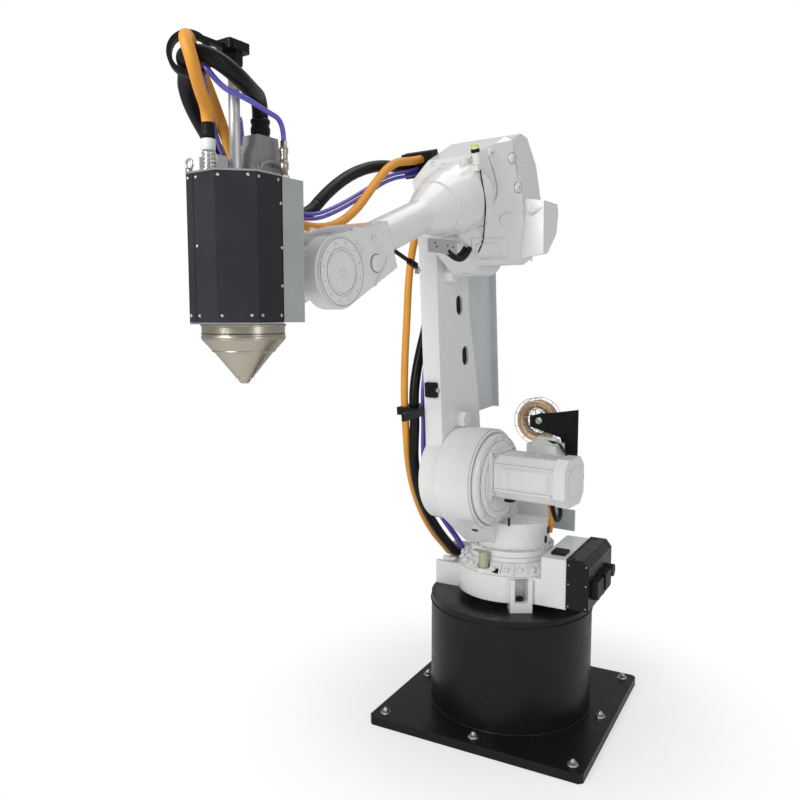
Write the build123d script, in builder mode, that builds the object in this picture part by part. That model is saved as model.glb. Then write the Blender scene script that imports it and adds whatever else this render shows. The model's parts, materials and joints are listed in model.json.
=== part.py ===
from build123d import *
from math import atan2, cos, degrees, radians, sin, tan
import os

os.makedirs("parts", exist_ok=True)

# Pose at rest, in degrees
TURN_REST = -6.3
LEAN_REST = 4.4
DIP_REST = 20.8

# Lengths of the arm, from axis to axis
SHOULDER_OUT = 175.0
SHOULDER_UP = 495.0
LOWER_ARM_LENGTH = 900.0
ELBOW_OFFSET = 175.0
FOREARM_LENGTH = 960.0
FLANGE_REACH = 135.0

# Gap between bodies that turn on each other, and between pieces that seat
RUN_GAP = 1.0
SEAT = 0.3

# Pedestal
PLATE_SIZE = 840.0
PLATE_THICK = 35.0
PLATE_CORNER = 14.0
ANCHOR_INSET = 48.0
ANCHOR_SPACING = PLATE_SIZE - 2 * ANCHOR_INSET
ANCHOR_HOLE_R = 11.0
DRUM_R = 320.0
DRUM_WALL = 10.0
DRUM_TOP_THICK = 20.0
PEDESTAL_HEIGHT = 470.0

# Robot base casting, with heights above the pedestal
SKIRT_R = 212.0
SKIRT_LIFT = 30.0
SKIRT_TOP = 132.0
CONE_TALL = 40.0
COLLAR_R = 168.0
COLLAR_TOP = 190.0
REAR_BLOCK_START = 178.0
REAR_BLOCK_END = 274.0
REAR_BLOCK_HALF = 165.0
REAR_BLOCK_TOP = 217.0
FOOT_HALF = 42.0
FRONT_FOOT_TOP = 96.0
SIDE_FOOT_TOP = 126.0
FOOT_PAD = 38.0
POCKET_LONG = 66.0
POCKET_WIDE = 50.0
FRONT_FOOT_OUT = 316.0
SIDE_FOOT_OUT = 232.0
SIDE_FOOT_ANGLE = 60.0
FOOT_BOLT_R = 11.0
FOOT_BOLT_INSET = 34.0
LID_LENGTH = 70.0
LID_WIDTH = 56.0
LID_THICK = 8.0
BOX_DEEP = 84.0
BOX_HALF = 168.0
BOX_LOW = 36.0
BOX_TOP = 222.0
STOP_R = 19.0
STOP_TALL = 60.0
STOP_OUT = 192.0
STOP_ANGLE = 257.0
STOP_FOOT = 150.0
STOP_PAD_R = 25.0

# Turret, with heights above the pedestal
TURRET_LOW = COLLAR_TOP + RUN_GAP
TURRET_FOOT_R = 166.0
TURRET_FOOT_TALL = 24.0
TURRET_NECK_R = 150.0
TURRET_NECK_TOP = 318.0
BOSS_R = 190.0
BOSS_FAR = -140.0
BOSS_NEAR = 4.0
RING_R = 172.0
RING_THICK = 26.0
MOTOR_RISE = 26.0
MOTOR_FLANGE = 188.0
MOTOR_FLANGE_THICK = 18.0
MOTOR_WIDTH = 158.0
MOTOR_LENGTH = 236.0
MOTOR_CAP_LENGTH = 46.0
TURN_MOTOR_WIDTH = 130.0
TURN_MOTOR_TOP = 590.0
TURN_MOTOR_REAR = 175.0
TURN_MOTOR_SIDE = 60.0
PLATFORM_TOP = 400.0
PANEL_REAR = 214.0
PANEL_THICK = 6.0
PANEL_TALL = 88.0
PANEL_WIDE = 178.0
BULKHEAD_TALL = 142.0
BULKHEAD_OUT = 257.5
BULKHEAD_FACE = 70.0
BULKHEAD_WIDE = 93.0
BULKHEAD_DEEP = 50.0

# Lower arm, across and along the line from shoulder to elbow
ARM_THICK = 75.0
ARM_NEAR = BOSS_FAR - RUN_GAP
ARM_FAR = ARM_NEAR - ARM_THICK
ARM_FOOT_R = 178.0
ARM_HEAD_R = 118.0
SLOT_TALL = 74.0
SLOT_WIDE = 46.0
SLOT_DEPTH = 55.0
PLUG_R = 26.0
UPPER_PLUG_DOWN = 130.5
PLUG_TALL = 26.0
GUARD_THICK = 3.0
GUARD_REACH = 350.0
GUARD_LIP = 30.0
CLAMP_UP = 265.0
CLAMP_TALL = 30.0
CLAMP_BAR = 14.0
CLAMP_BLOCK = 92.0
CLAMP_GAP = 1.5

# Elbow housing, along the forearm and up from the elbow axis
HOUSING_FAR = BOSS_FAR + 30.0
HOUSING_NEAR = 128.0
HUB_R = 140.0
ELBOW_BOSS_R = 104.0
HOUSING_FRONT = 232.0
CORE_NEAR = 10.0
HOUSING_RIM = 26.0
HOUSING_RIM_TAPER = 32
CREST_ALONG = -60.0
CREST_DROP_FRONT = 104.0
CREST_DROP_REAR = 62.0
SHELL_DEEP = 700.0
POD_OUT = 198.0
POD_TAPER = 9
LEDGE_LONG = 46.0
LEDGE_TALL = 18.0
ROOT_R = 108.0
ROOT_SWELL_R = 122.0
ROOT_SWELL_ALONG = 120.0
ROOT_END = 300.0
ROOT_END_R = 92.0
LAMP_ALONG = 133.0
LAMP_UP = 274.0
LAMP_SIDE = 88.0
LAMP_R = 13.5
LAMP_TALL = 56.0
ELBOW_CLAMP_LONG = 40.0
ELBOW_CLAMP_TALL = 84.0
ELBOW_CLAMP_OUT = 128.0

# Forearm and wrist
TUBE_START_R = 88.0
TUBE_R = 54.0
TUBE_TAPER_END = 400.0
TUBE_END = 712.0
YOKE_R = 94.0
YOKE_HALF = 108.0
CHEEK_INNER = 62.0
WRIST_COVER_R = 85.0
WRIST_COVER_THICK = 10.0
HEAD_R = 70.0
HEAD_HALF = 60.0
FLANGE_R = 62.5
FLANGE_THICK = 24.0

# Tool head, measured from the wrist centre
TOOL_LOW = -126.0
TOOL_HIGH = 206.0
TOOL_HALF = 111.0
TOOL_BOX_DEEP = 73.0
TOOL_SHELL_DEEP = 144.0
TOOL_FRONT_HALF = 46.0
TOOL_PLATE_THICK = 4.0
NOZZLE_OUT = 230.0
NOZZLE_R = 98.0
NOZZLE_RING_TALL = 36.0
NOZZLE_TAPER_TALL = 27.0
NOZZLE_SHOULDER_R = 74.0
NOZZLE_CONE_TALL = 78.0
NOZZLE_TIP_R = 9.0
MAST_R = 13.0
MAST_OUT = 245.0
MAST_TOP = 488.0
SUPPLY_OUT = 325.0
SUPPLY_TALL = 96.0
AIR_FITTING = (64, 150)
WATER_FITTING = (-64, 172)
FITTING_TALL = 90.0
PLUG_OUT = 162.0
PLUG_BODY_TALL = 105.0
GLAND_TALL = 44.0

# Wire spool
SPOOL_R = 100.0
SPOOL_WIDE = 56.0
SPOOL_REAR = 300.0
SPOOL_SIDE = -34.0
SPOOL_UP = 664.0
STAND_THICK = 6.0
STAND_GAP = 4.0
HUB_SHAFT_R = 12.0
HUB_CAP_R = 28.0
HUB_CAP_TALL = 22.0

# Hoses, and the share of a run that each arc at its end may take
POWER_R = 19.0
SUPPLY_R = 14.0
AIR_R = 6.0
ARC_SHARE = 0.45
CLAMP_EYES = [(-266, -112, POWER_R), (-300, -127, SUPPLY_R), (-236, -102, AIR_R), (-236, -88, AIR_R)]
ELBOW_EYES = [(-210, 290, POWER_R), (-160, 306.4, SUPPLY_R), (-182, 262, AIR_R), (-182, 276, AIR_R)]
RING_OUT = 371.0
RING_UP = 451.0
HOSE_RING_R = 38.0
HOSE_RING_WALL = 10.0
HOSE_RING_WIDE = 26.0


def arm_point(side, forward, up):
    """A point by its distance to the motor side, in front of axis 1 and above the robot's base."""
    turn = radians(TURN_REST)
    x = side * cos(turn) + forward * sin(turn)
    y = side * sin(turn) - forward * cos(turn)
    return Vector(x, y, PEDESTAL_HEIGHT + up)


def near_side():
    """The level direction towards the motor side of the arm."""
    return Vector(cos(radians(TURN_REST)), sin(radians(TURN_REST)), 0)


def link_plane(forward, up, lean):
    """A link's side plane: x to the rear across the link, y up along it, z to the motor side."""
    turn, tilt = radians(TURN_REST), radians(lean)
    rear = Vector(-sin(turn), cos(turn), 0)
    across = rear * cos(tilt) + Vector(0, 0, sin(tilt))
    return Plane(origin=arm_point(0, forward, up), x_dir=across, z_dir=near_side())


def plan_plane(forward, up):
    """A level plane: x to the motor side, y to the rear."""
    return Plane(origin=arm_point(0, forward, up), x_dir=near_side(), z_dir=(0, 0, 1))


def save(piece, name):
    """Label a finished piece and write it as its own file."""
    piece.part.label = name
    export_step(piece.part, f"parts/{name}.step")


lean, dip = radians(LEAN_REST), radians(DIP_REST)
elbow_forward = SHOULDER_OUT + LOWER_ARM_LENGTH * sin(lean)
elbow_up = SHOULDER_UP + LOWER_ARM_LENGTH * cos(lean)
wrist_forward = elbow_forward + ELBOW_OFFSET * sin(dip) + FOREARM_LENGTH * cos(dip)
wrist_up = elbow_up + ELBOW_OFFSET * cos(dip) - FOREARM_LENGTH * sin(dip)

turret_side = link_plane(0, 0, 0)
shoulder_side = link_plane(SHOULDER_OUT, SHOULDER_UP, 0)
arm_side = link_plane(SHOULDER_OUT, SHOULDER_UP, LEAN_REST)
fore_side = link_plane(elbow_forward, elbow_up, DIP_REST)
wrist_side = link_plane(wrist_forward, wrist_up, 0)
fore_line = Axis(fore_side.from_local_coords((0, ELBOW_OFFSET, 0)), fore_side.x_dir * -1)
flange_line = Axis(wrist_side.origin, wrist_side.x_dir * -1)


# Base plate: square, with cut corners and eight anchor holes
half_anchor = ANCHOR_SPACING / 2
with BuildPart() as base_plate:
    with BuildSketch():
        Rectangle(PLATE_SIZE, PLATE_SIZE)
    extrude(amount=PLATE_THICK)
    chamfer(base_plate.edges().filter_by(Axis.Z), PLATE_CORNER)
    with BuildSketch(Plane.XY.offset(PLATE_THICK)):
        with GridLocations(half_anchor, half_anchor, 3, 3) as grid:
            places = [p for p in grid.local_locations if p.position.length > 1]
        with Locations(places):
            Circle(ANCHOR_HOLE_R)
    extrude(amount=-PLATE_THICK, mode=Mode.SUBTRACT)
save(base_plate, "base_plate")

# Drum: a welded round wall closed by a top plate
with BuildPart() as drum:
    with BuildSketch(Plane.XY.offset(PLATE_THICK)):
        Circle(DRUM_R)
    extrude(amount=PEDESTAL_HEIGHT - PLATE_THICK)
    with BuildSketch(Plane.XY.offset(PLATE_THICK)):
        Circle(DRUM_R - DRUM_WALL)
    extrude(amount=PEDESTAL_HEIGHT - PLATE_THICK - DRUM_TOP_THICK, mode=Mode.SUBTRACT)
save(drum, "drum")


# Robot base: stepped round casting on three feet, with a block at the rear
def foot_plane(angle, up):
    """A level plane turned so that its x runs out along a foot."""
    return Plane.XY.offset(PEDESTAL_HEIGHT + up).rotated((0, 0, angle))


# Each foot by its angle: how far out it reaches and how high it is
feet = {
    180: (FRONT_FOOT_OUT, FRONT_FOOT_TOP),
    -SIDE_FOOT_ANGLE: (SIDE_FOOT_OUT, SIDE_FOOT_TOP),
    SIDE_FOOT_ANGLE: (SIDE_FOOT_OUT, SIDE_FOOT_TOP),
}
with BuildPart() as robot_base:
    with BuildSketch(Plane.XY.offset(PEDESTAL_HEIGHT + SKIRT_LIFT)):
        Circle(SKIRT_R)
        with Locations((REAR_BLOCK_END / 2, 0)):
            Rectangle(REAR_BLOCK_END, 2 * REAR_BLOCK_HALF)
    extrude(amount=SKIRT_TOP - SKIRT_LIFT)
    with BuildSketch(Plane.XY.offset(PEDESTAL_HEIGHT + SKIRT_TOP)):
        Circle(SKIRT_R)
    extrude(amount=CONE_TALL, taper=degrees(atan2(SKIRT_R - COLLAR_R, CONE_TALL)))
    with BuildSketch(Plane.XY.offset(PEDESTAL_HEIGHT + SKIRT_TOP)):
        Circle(COLLAR_R)
    extrude(amount=COLLAR_TOP - SKIRT_TOP)
    with BuildSketch(Plane.XY.offset(PEDESTAL_HEIGHT + SKIRT_TOP)):
        with Locations(((REAR_BLOCK_START + REAR_BLOCK_END) / 2, 0)):
            Rectangle(REAR_BLOCK_END - REAR_BLOCK_START, 2 * REAR_BLOCK_HALF)
    extrude(amount=REAR_BLOCK_TOP - SKIRT_TOP)
    for angle, (reach, foot_top) in feet.items():
        with BuildSketch(foot_plane(angle, 0)):
            with Locations(((reach + COLLAR_R) / 2, 0)):
                Rectangle(reach - COLLAR_R, 2 * FOOT_HALF)
        extrude(amount=foot_top)
        with BuildSketch(foot_plane(angle, FOOT_PAD)):
            with Locations((reach - POCKET_LONG / 2 + 1, 0)):
                Rectangle(POCKET_LONG + 2, POCKET_WIDE)
        extrude(amount=foot_top - FOOT_PAD, mode=Mode.SUBTRACT)
        with BuildSketch(foot_plane(angle, FOOT_PAD)):
            with Locations((reach - FOOT_BOLT_INSET, 0)):
                Circle(FOOT_BOLT_R)
        extrude(amount=-FOOT_PAD, mode=Mode.SUBTRACT)
    with BuildSketch(foot_plane(STOP_ANGLE, STOP_FOOT)):
        with Locations((STOP_OUT, 0)):
            Circle(STOP_PAD_R)
    extrude(amount=SKIRT_TOP - STOP_FOOT)
    with BuildSketch(foot_plane(STOP_ANGLE, STOP_FOOT)):
        with Locations((STOP_OUT, 0)):
            Circle(STOP_PAD_R)
    extrude(amount=COLLAR_TOP - STOP_FOOT, mode=Mode.SUBTRACT)
save(robot_base, "robot_base")

with BuildPart() as base_lid:
    with BuildSketch(Plane.XY.offset(PEDESTAL_HEIGHT + REAR_BLOCK_TOP + SEAT)):
        with Locations(((REAR_BLOCK_START + REAR_BLOCK_END) / 2, -REAR_BLOCK_HALF / 2)):
            RectangleRounded(LID_WIDTH, LID_LENGTH, 8)
    extrude(amount=LID_THICK)
save(base_lid, "base_lid")

box_start = REAR_BLOCK_END + SEAT
with BuildPart() as connector_box:
    with BuildSketch(Plane.XZ.offset(-BOX_HALF)):
        with BuildLine():
            Polyline(
                (box_start, PEDESTAL_HEIGHT + BOX_LOW),
                (box_start, PEDESTAL_HEIGHT + BOX_TOP),
                (box_start + BOX_DEEP - 20, PEDESTAL_HEIGHT + BOX_TOP),
                (box_start + BOX_DEEP, PEDESTAL_HEIGHT + BOX_TOP - 26),
                (box_start + BOX_DEEP, PEDESTAL_HEIGHT + BOX_LOW),
                close=True,
            )
        make_face()
    extrude(amount=2 * BOX_HALF)
save(connector_box, "connector_box")

with BuildPart() as box_sockets:
    with BuildSketch(Plane.YZ.offset(box_start + BOX_DEEP + SEAT)):
        with Locations((-95, PEDESTAL_HEIGHT + 110), (20, PEDESTAL_HEIGHT + 110)):
            RectangleRounded(84, 62, 6)
        with Locations((105, PEDESTAL_HEIGHT + 120)):
            Circle(24)
    extrude(amount=26)
save(box_sockets, "box_sockets")

stop_plane = foot_plane(STOP_ANGLE, STOP_FOOT + SEAT)
with BuildPart() as stop_post:
    with BuildSketch(stop_plane):
        with Locations((STOP_OUT, 0)):
            Circle(STOP_R)
    extrude(amount=STOP_TALL)
save(stop_post, "stop_post")

# Turret: foot flange, neck, and a boss that carries the shoulder
with BuildPart() as turret:
    with BuildSketch(plan_plane(0, TURRET_LOW)):
        Circle(TURRET_FOOT_R)
    extrude(amount=TURRET_FOOT_TALL)
    with BuildSketch(plan_plane(0, TURRET_LOW)):
        Circle(TURRET_NECK_R)
    extrude(amount=TURRET_NECK_TOP - TURRET_LOW)
    with BuildSketch(turret_side.offset(BOSS_FAR)):
        with Locations((-SHOULDER_OUT, SHOULDER_UP)):
            Circle(BOSS_R)
        with Locations((0, (TURRET_NECK_TOP + TURRET_LOW + TURRET_FOOT_TALL) / 2)):
            Rectangle(2 * 120, TURRET_NECK_TOP - TURRET_LOW - TURRET_FOOT_TALL)
        make_hull()
    extrude(amount=BOSS_NEAR - BOSS_FAR)
    with BuildSketch(plan_plane(0, TURRET_NECK_TOP)):
        with Locations((TURN_MOTOR_SIDE, TURN_MOTOR_REAR - 30)):
            Rectangle(TURN_MOTOR_WIDTH + 20, TURN_MOTOR_WIDTH + 60)
    extrude(amount=PLATFORM_TOP - TURRET_NECK_TOP)
save(turret, "turret")

with BuildPart() as shoulder_ring:
    with BuildSketch(shoulder_side.offset(BOSS_NEAR + SEAT)):
        Circle(RING_R)
    extrude(amount=RING_THICK)
    chamfer(shoulder_ring.faces().sort_by(Axis(shoulder_side.origin, near_side()))[-1].edges(), 8)
save(shoulder_ring, "shoulder_ring")

motor_start = BOSS_NEAR + SEAT + RING_THICK + SEAT
motor_side = link_plane(SHOULDER_OUT, SHOULDER_UP + MOTOR_RISE, 0)
with BuildPart() as shoulder_motor:
    with BuildSketch(motor_side.offset(motor_start)):
        RectangleRounded(MOTOR_FLANGE, MOTOR_FLANGE, 12)
    extrude(amount=MOTOR_FLANGE_THICK)
    with BuildSketch(motor_side.offset(motor_start + MOTOR_FLANGE_THICK)):
        Rectangle(MOTOR_WIDTH, MOTOR_WIDTH)
        chamfer(vertices(), 26)
    extrude(amount=MOTOR_LENGTH)
    with BuildSketch(motor_side.offset(motor_start + MOTOR_FLANGE_THICK + MOTOR_LENGTH)):
        Rectangle(MOTOR_WIDTH + 14, MOTOR_WIDTH + 14)
        chamfer(vertices(), 34)
    extrude(amount=MOTOR_CAP_LENGTH)
save(shoulder_motor, "shoulder_motor")

with BuildPart() as turn_motor:
    with BuildSketch(plan_plane(0, PLATFORM_TOP + SEAT)):
        with Locations((TURN_MOTOR_SIDE, TURN_MOTOR_REAR)):
            Rectangle(TURN_MOTOR_WIDTH, TURN_MOTOR_WIDTH)
        chamfer(vertices(), 22)
    extrude(amount=TURN_MOTOR_TOP - PLATFORM_TOP)
save(turn_motor, "turn_motor")

with BuildPart() as shoulder_plug:
    with BuildSketch(plan_plane(SHOULDER_OUT, SHOULDER_UP + MOTOR_RISE - MOTOR_WIDTH / 2 - SEAT)):
        with Locations((motor_start + MOTOR_FLANGE_THICK + 30, 0)):
            RectangleRounded(34, 40, 6)
    extrude(amount=-24)
save(shoulder_plug, "shoulder_plug")

with BuildPart() as rear_panel:
    with BuildSketch(turret_side):
        with Locations((PANEL_REAR, TURRET_NECK_TOP - SEAT - PANEL_TALL / 2)):
            Rectangle(PANEL_THICK, PANEL_TALL)
    extrude(amount=PANEL_WIDE)
save(rear_panel, "rear_panel")

# Hose bulkhead: a box on the pedestal, behind the front foot
with BuildPart() as hose_bulkhead:
    with BuildSketch(Plane.XY.offset(PEDESTAL_HEIGHT + SEAT)):
        with Locations((-BULKHEAD_OUT, BULKHEAD_FACE + BULKHEAD_DEEP / 2)):
            Rectangle(BULKHEAD_WIDE, BULKHEAD_DEEP)
    extrude(amount=BULKHEAD_TALL)
save(hose_bulkhead, "hose_bulkhead")

# Spool stand: a black sheet post behind the shoulder, and the spool on its hub
spool_plane = Plane(
    origin=arm_point(SPOOL_SIDE, -SPOOL_REAR, SPOOL_UP),
    x_dir=near_side(),
    z_dir=arm_point(0, 1, 0) - arm_point(0, 0, 0),
)
with BuildPart() as spool_stand:
    with BuildSketch(spool_plane.offset(SPOOL_WIDE / 2 + STAND_GAP)):
        with BuildLine():
            Polyline(
                (-20, -24),
                (-20, 24),
                (SPOOL_R + 96, 62),
                (SPOOL_R + 96, -SPOOL_R - 40),
                (SPOOL_R + 40, -SPOOL_R - 40),
                (SPOOL_R + 20, -60),
                close=True,
            )
        make_face()
    extrude(amount=STAND_THICK)
    with BuildSketch(spool_plane.offset(SPOOL_WIDE / 2 + STAND_GAP)):
        with Locations((TURN_MOTOR_SIDE - SPOOL_SIDE, SPOOL_R - 220)):
            Rectangle(82, 50)
    extrude(amount=SPOOL_REAR - TURN_MOTOR_REAR - (TURN_MOTOR_WIDTH + SPOOL_WIDE) / 2 - STAND_GAP - SEAT)
    with BuildSketch(spool_plane.offset(-SPOOL_WIDE / 2 - STAND_GAP)):
        Circle(HUB_SHAFT_R)
    extrude(amount=SPOOL_WIDE + 2 * STAND_GAP)
    with BuildSketch(spool_plane.offset(-SPOOL_WIDE / 2 - STAND_GAP)):
        Circle(HUB_CAP_R)
    extrude(amount=-HUB_CAP_TALL)
save(spool_stand, "spool_stand")

with BuildPart() as wire_spool:
    with BuildSketch(spool_plane.offset(-SPOOL_WIDE / 2)):
        Circle(SPOOL_R)
        Circle(HUB_SHAFT_R + RUN_GAP, mode=Mode.SUBTRACT)
    extrude(amount=SPOOL_WIDE)
save(wire_spool, "wire_spool")

# Lower arm: a flat box casting between two round ends
with BuildPart() as lower_arm:
    with BuildSketch(arm_side.offset(ARM_FAR)):
        Circle(ARM_FOOT_R)
        with Locations((0, LOWER_ARM_LENGTH)):
            Circle(ARM_HEAD_R)
        with BuildLine():
            Polyline(
                (-118, 0), (-112, LOWER_ARM_LENGTH), (110, LOWER_ARM_LENGTH), (112, LOWER_ARM_LENGTH - 280), (165, 300), (176, 20), close=True
            )
        make_face()
    extrude(amount=ARM_THICK)
    with BuildSketch(arm_side.offset(ARM_NEAR)):
        for across, down in ((38, 246), (71, 443)):
            with Locations((across, LOWER_ARM_LENGTH - down)):
                SlotOverall(SLOT_TALL, SLOT_WIDE, rotation=90)
    extrude(amount=-SLOT_DEPTH, mode=Mode.SUBTRACT)
save(lower_arm, "lower_arm")

with BuildPart() as arm_plugs:
    with BuildSketch(arm_side.offset(ARM_NEAR + SEAT)):
        with Locations((-40, LOWER_ARM_LENGTH - UPPER_PLUG_DOWN), (14, 217)):
            RegularPolygon(PLUG_R, 6)
    extrude(amount=PLUG_TALL)
save(arm_plugs, "arm_plugs")

front_plane = Plane(
    origin=arm_side.from_local_coords((-116.0, 350, ARM_FAR + ARM_THICK / 2)),
    x_dir=near_side(),
    z_dir=arm_side.x_dir * -1,
)
with BuildPart() as arm_buffer:
    with BuildSketch(front_plane):
        RectangleRounded(52, 56, 6)
    extrude(amount=12)
save(arm_buffer, "arm_buffer")

with BuildPart() as arm_guard:
    with BuildSketch(arm_side.offset(ARM_FAR + ARM_THICK / 2)):
        with BuildLine():
            Polyline((113, 800), (GUARD_REACH, 800), (GUARD_REACH, 210), (177, 210), (166, 300), (113, 620), close=True)
        make_face()
    extrude(amount=GUARD_THICK)
    with BuildSketch(arm_side.offset(ARM_FAR + ARM_THICK / 2)):
        with Locations((GUARD_REACH - GUARD_THICK / 2, 505)):
            Rectangle(GUARD_THICK, 590)
    extrude(amount=GUARD_LIP)
save(arm_guard, "arm_guard")

# Bar on the far side of the lower arm, with the eyes that hold the hoses
with BuildPart() as arm_clamp:
    with BuildSketch(arm_side.offset(ARM_FAR - SEAT)):
        with Locations((-100, CLAMP_UP)):
            Rectangle(300, CLAMP_TALL)
    extrude(amount=-CLAMP_BAR)
    with BuildSketch(arm_side.offset(ARM_FAR - SEAT - CLAMP_BAR)):
        with Locations((-95, CLAMP_UP)):
            Rectangle(106, CLAMP_TALL)
    extrude(amount=-CLAMP_BLOCK)
    with BuildSketch(Plane(arm_side.from_local_coords((0, CLAMP_UP - CLAMP_TALL, 0)), near_side(), arm_side.y_dir)):
        for side, across, radius in CLAMP_EYES:
            with Locations((side, across)):
                Circle(radius + CLAMP_GAP)
    extrude(amount=2 * CLAMP_TALL, mode=Mode.SUBTRACT)
save(arm_clamp, "arm_clamp")


def along(distance, height):
    """A point of a forearm profile in the link's own side plane."""
    return (-distance, height)


# Elbow housing: hub round the elbow axis, body above it, and the forearm's fixed root
body_outline = [
    along(112, 304),
    along(-60, 326),
    along(-190, 312),
    along(-270, 285),
    along(-350, 170),
    along(-352, 30),
    along(-300, -40),
    along(-200, -96),
    along(-60, -128),
    along(120, -72),
    along(HOUSING_FRONT, 70),
    along(HOUSING_FRONT, 262),
]
# The cover's share of the near side, behind and below a seam that runs down and then forward
cover_region = [
    along(52, 420),
    along(30, 172),
    along(84, 108),
    along(HOUSING_FRONT + 40, 78),
    along(HOUSING_FRONT + 40, -220),
    along(-420, -220),
    along(-420, 420),
]
pod_outline = [
    along(-97, 90),
    along(-203, 49),
    along(-202, 17),
    along(-162, -50),
    along(-66, -92),
    along(-34, -84),
]
# Seen from above the forearm: x to the near side, y to the rear along the forearm
fore_top = Plane(fore_side.origin, near_side(), fore_side.y_dir)


def near_shell():
    """The housing's near side: a chamfered rim, and two flats that fall away from a crest."""
    with BuildPart() as shell:
        with BuildSketch(fore_side.offset(CORE_NEAR)):
            with BuildLine():
                Polyline(*body_outline, close=True)
            make_face()
        extrude(amount=HOUSING_NEAR - HOUSING_RIM - CORE_NEAR)
        with BuildSketch(fore_side.offset(HOUSING_NEAR - HOUSING_RIM)):
            with BuildLine():
                Polyline(*body_outline, close=True)
            make_face()
        extrude(amount=HOUSING_RIM, taper=HOUSING_RIM_TAPER)
        with BuildSketch(fore_top):
            for end, drop in ((HOUSING_FRONT + 1, CREST_DROP_FRONT), (-353, CREST_DROP_REAR)):
                with BuildLine():
                    Polyline(
                        (HOUSING_NEAR, -CREST_ALONG),
                        (HOUSING_NEAR - drop, -end),
                        (HOUSING_NEAR + 1, -end),
                        (HOUSING_NEAR + 1, -CREST_ALONG),
                        close=True,
                    )
                make_face()
        extrude(amount=SHELL_DEEP, both=True, mode=Mode.SUBTRACT)
    return shell.part


with BuildPart() as elbow_housing:
    add(near_shell())
    with BuildSketch(fore_side.offset(CORE_NEAR)):
        with BuildLine():
            Polyline(*cover_region, close=True)
        make_face()
    extrude(amount=SHELL_DEEP, mode=Mode.SUBTRACT)
    with BuildSketch(fore_side.offset(HOUSING_FAR)):
        Circle(HUB_R)
        with BuildLine():
            Polyline(*body_outline, close=True)
        make_face()
    extrude(amount=CORE_NEAR - HOUSING_FAR)
    with BuildSketch(fore_side.offset(BOSS_FAR)):
        Circle(ELBOW_BOSS_R)
    extrude(amount=HOUSING_FAR - BOSS_FAR)
    with BuildSketch(fore_side):
        with BuildLine():
            Polyline(
                along(ROOT_SWELL_ALONG, ELBOW_OFFSET),
                along(ROOT_SWELL_ALONG, ELBOW_OFFSET + ROOT_SWELL_R),
                along(HOUSING_FRONT, ELBOW_OFFSET + ROOT_R),
                along(ROOT_END, ELBOW_OFFSET + ROOT_END_R),
                along(ROOT_END, ELBOW_OFFSET),
                close=True,
            )
        make_face()
    revolve(axis=fore_line)
    with BuildSketch(fore_side.offset(CORE_NEAR)):
        with Locations(along(LAMP_ALONG, LAMP_UP - LEDGE_TALL / 2)):
            Rectangle(LEDGE_LONG, LEDGE_TALL)
    extrude(amount=LAMP_SIDE + LAMP_R - CORE_NEAR)
save(elbow_housing, "elbow_housing")

with BuildPart() as elbow_cover:
    add(near_shell())
    with BuildSketch(fore_side.offset(CORE_NEAR + SEAT)):
        with BuildLine():
            Polyline(*cover_region, close=True)
        make_face()
        offset(amount=-SEAT, kind=Kind.INTERSECTION)
    extrude(amount=SHELL_DEEP, mode=Mode.INTERSECT)
    add(elbow_housing.part, mode=Mode.SUBTRACT)
save(elbow_cover, "elbow_cover")

with BuildPart() as side_cover:
    with BuildSketch(fore_side.offset(POD_OUT)):
        with BuildLine():
            Polyline(*pod_outline, close=True)
        make_face()
    extrude(amount=HOUSING_NEAR - CREST_DROP_REAR - POD_OUT, taper=-POD_TAPER)
    add(near_shell(), mode=Mode.SUBTRACT)
save(side_cover, "side_cover")

with BuildPart() as status_lamp:
    lamp_foot = fore_side.from_local_coords((-LAMP_ALONG, LAMP_UP + SEAT, LAMP_SIDE))
    with BuildSketch(Plane(lamp_foot, near_side(), fore_side.y_dir)):
        Circle(LAMP_R)
    extrude(amount=LAMP_TALL)
save(status_lamp, "status_lamp")

with BuildPart() as elbow_clamps:
    with BuildSketch(fore_side.offset(HOUSING_FAR - SEAT)):
        with Locations(along(60, 288)):
            Rectangle(ELBOW_CLAMP_LONG, ELBOW_CLAMP_TALL)
    extrude(amount=-ELBOW_CLAMP_OUT)
    with BuildSketch(Plane(fore_side.origin, near_side(), fore_side.x_dir)):
        for side, height, radius in ELBOW_EYES:
            with Locations((side, -height)):
                Circle(radius + CLAMP_GAP)
    extrude(amount=-200, mode=Mode.SUBTRACT)
save(elbow_clamps, "elbow_clamps")

with BuildPart() as root_bracket:
    with BuildSketch(fore_side.offset(-50)):
        with Locations(along(HOUSING_FRONT + 30, ELBOW_OFFSET - ROOT_R - 14)):
            Rectangle(60, 26)
    extrude(amount=100)
save(root_bracket, "root_bracket")

# Forearm: a tube that flares towards the elbow, with the wrist yoke at its end
with BuildPart() as forearm_tube:
    with BuildSketch(fore_side):
        with BuildLine():
            Polyline(
                along(ROOT_END + RUN_GAP, ELBOW_OFFSET),
                along(ROOT_END + RUN_GAP, ELBOW_OFFSET + TUBE_START_R),
                along(TUBE_TAPER_END, ELBOW_OFFSET + TUBE_R),
                along(TUBE_END, ELBOW_OFFSET + TUBE_R),
                along(TUBE_END, ELBOW_OFFSET),
                close=True,
            )
        make_face()
    revolve(axis=fore_line)
save(forearm_tube, "forearm_tube")

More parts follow.
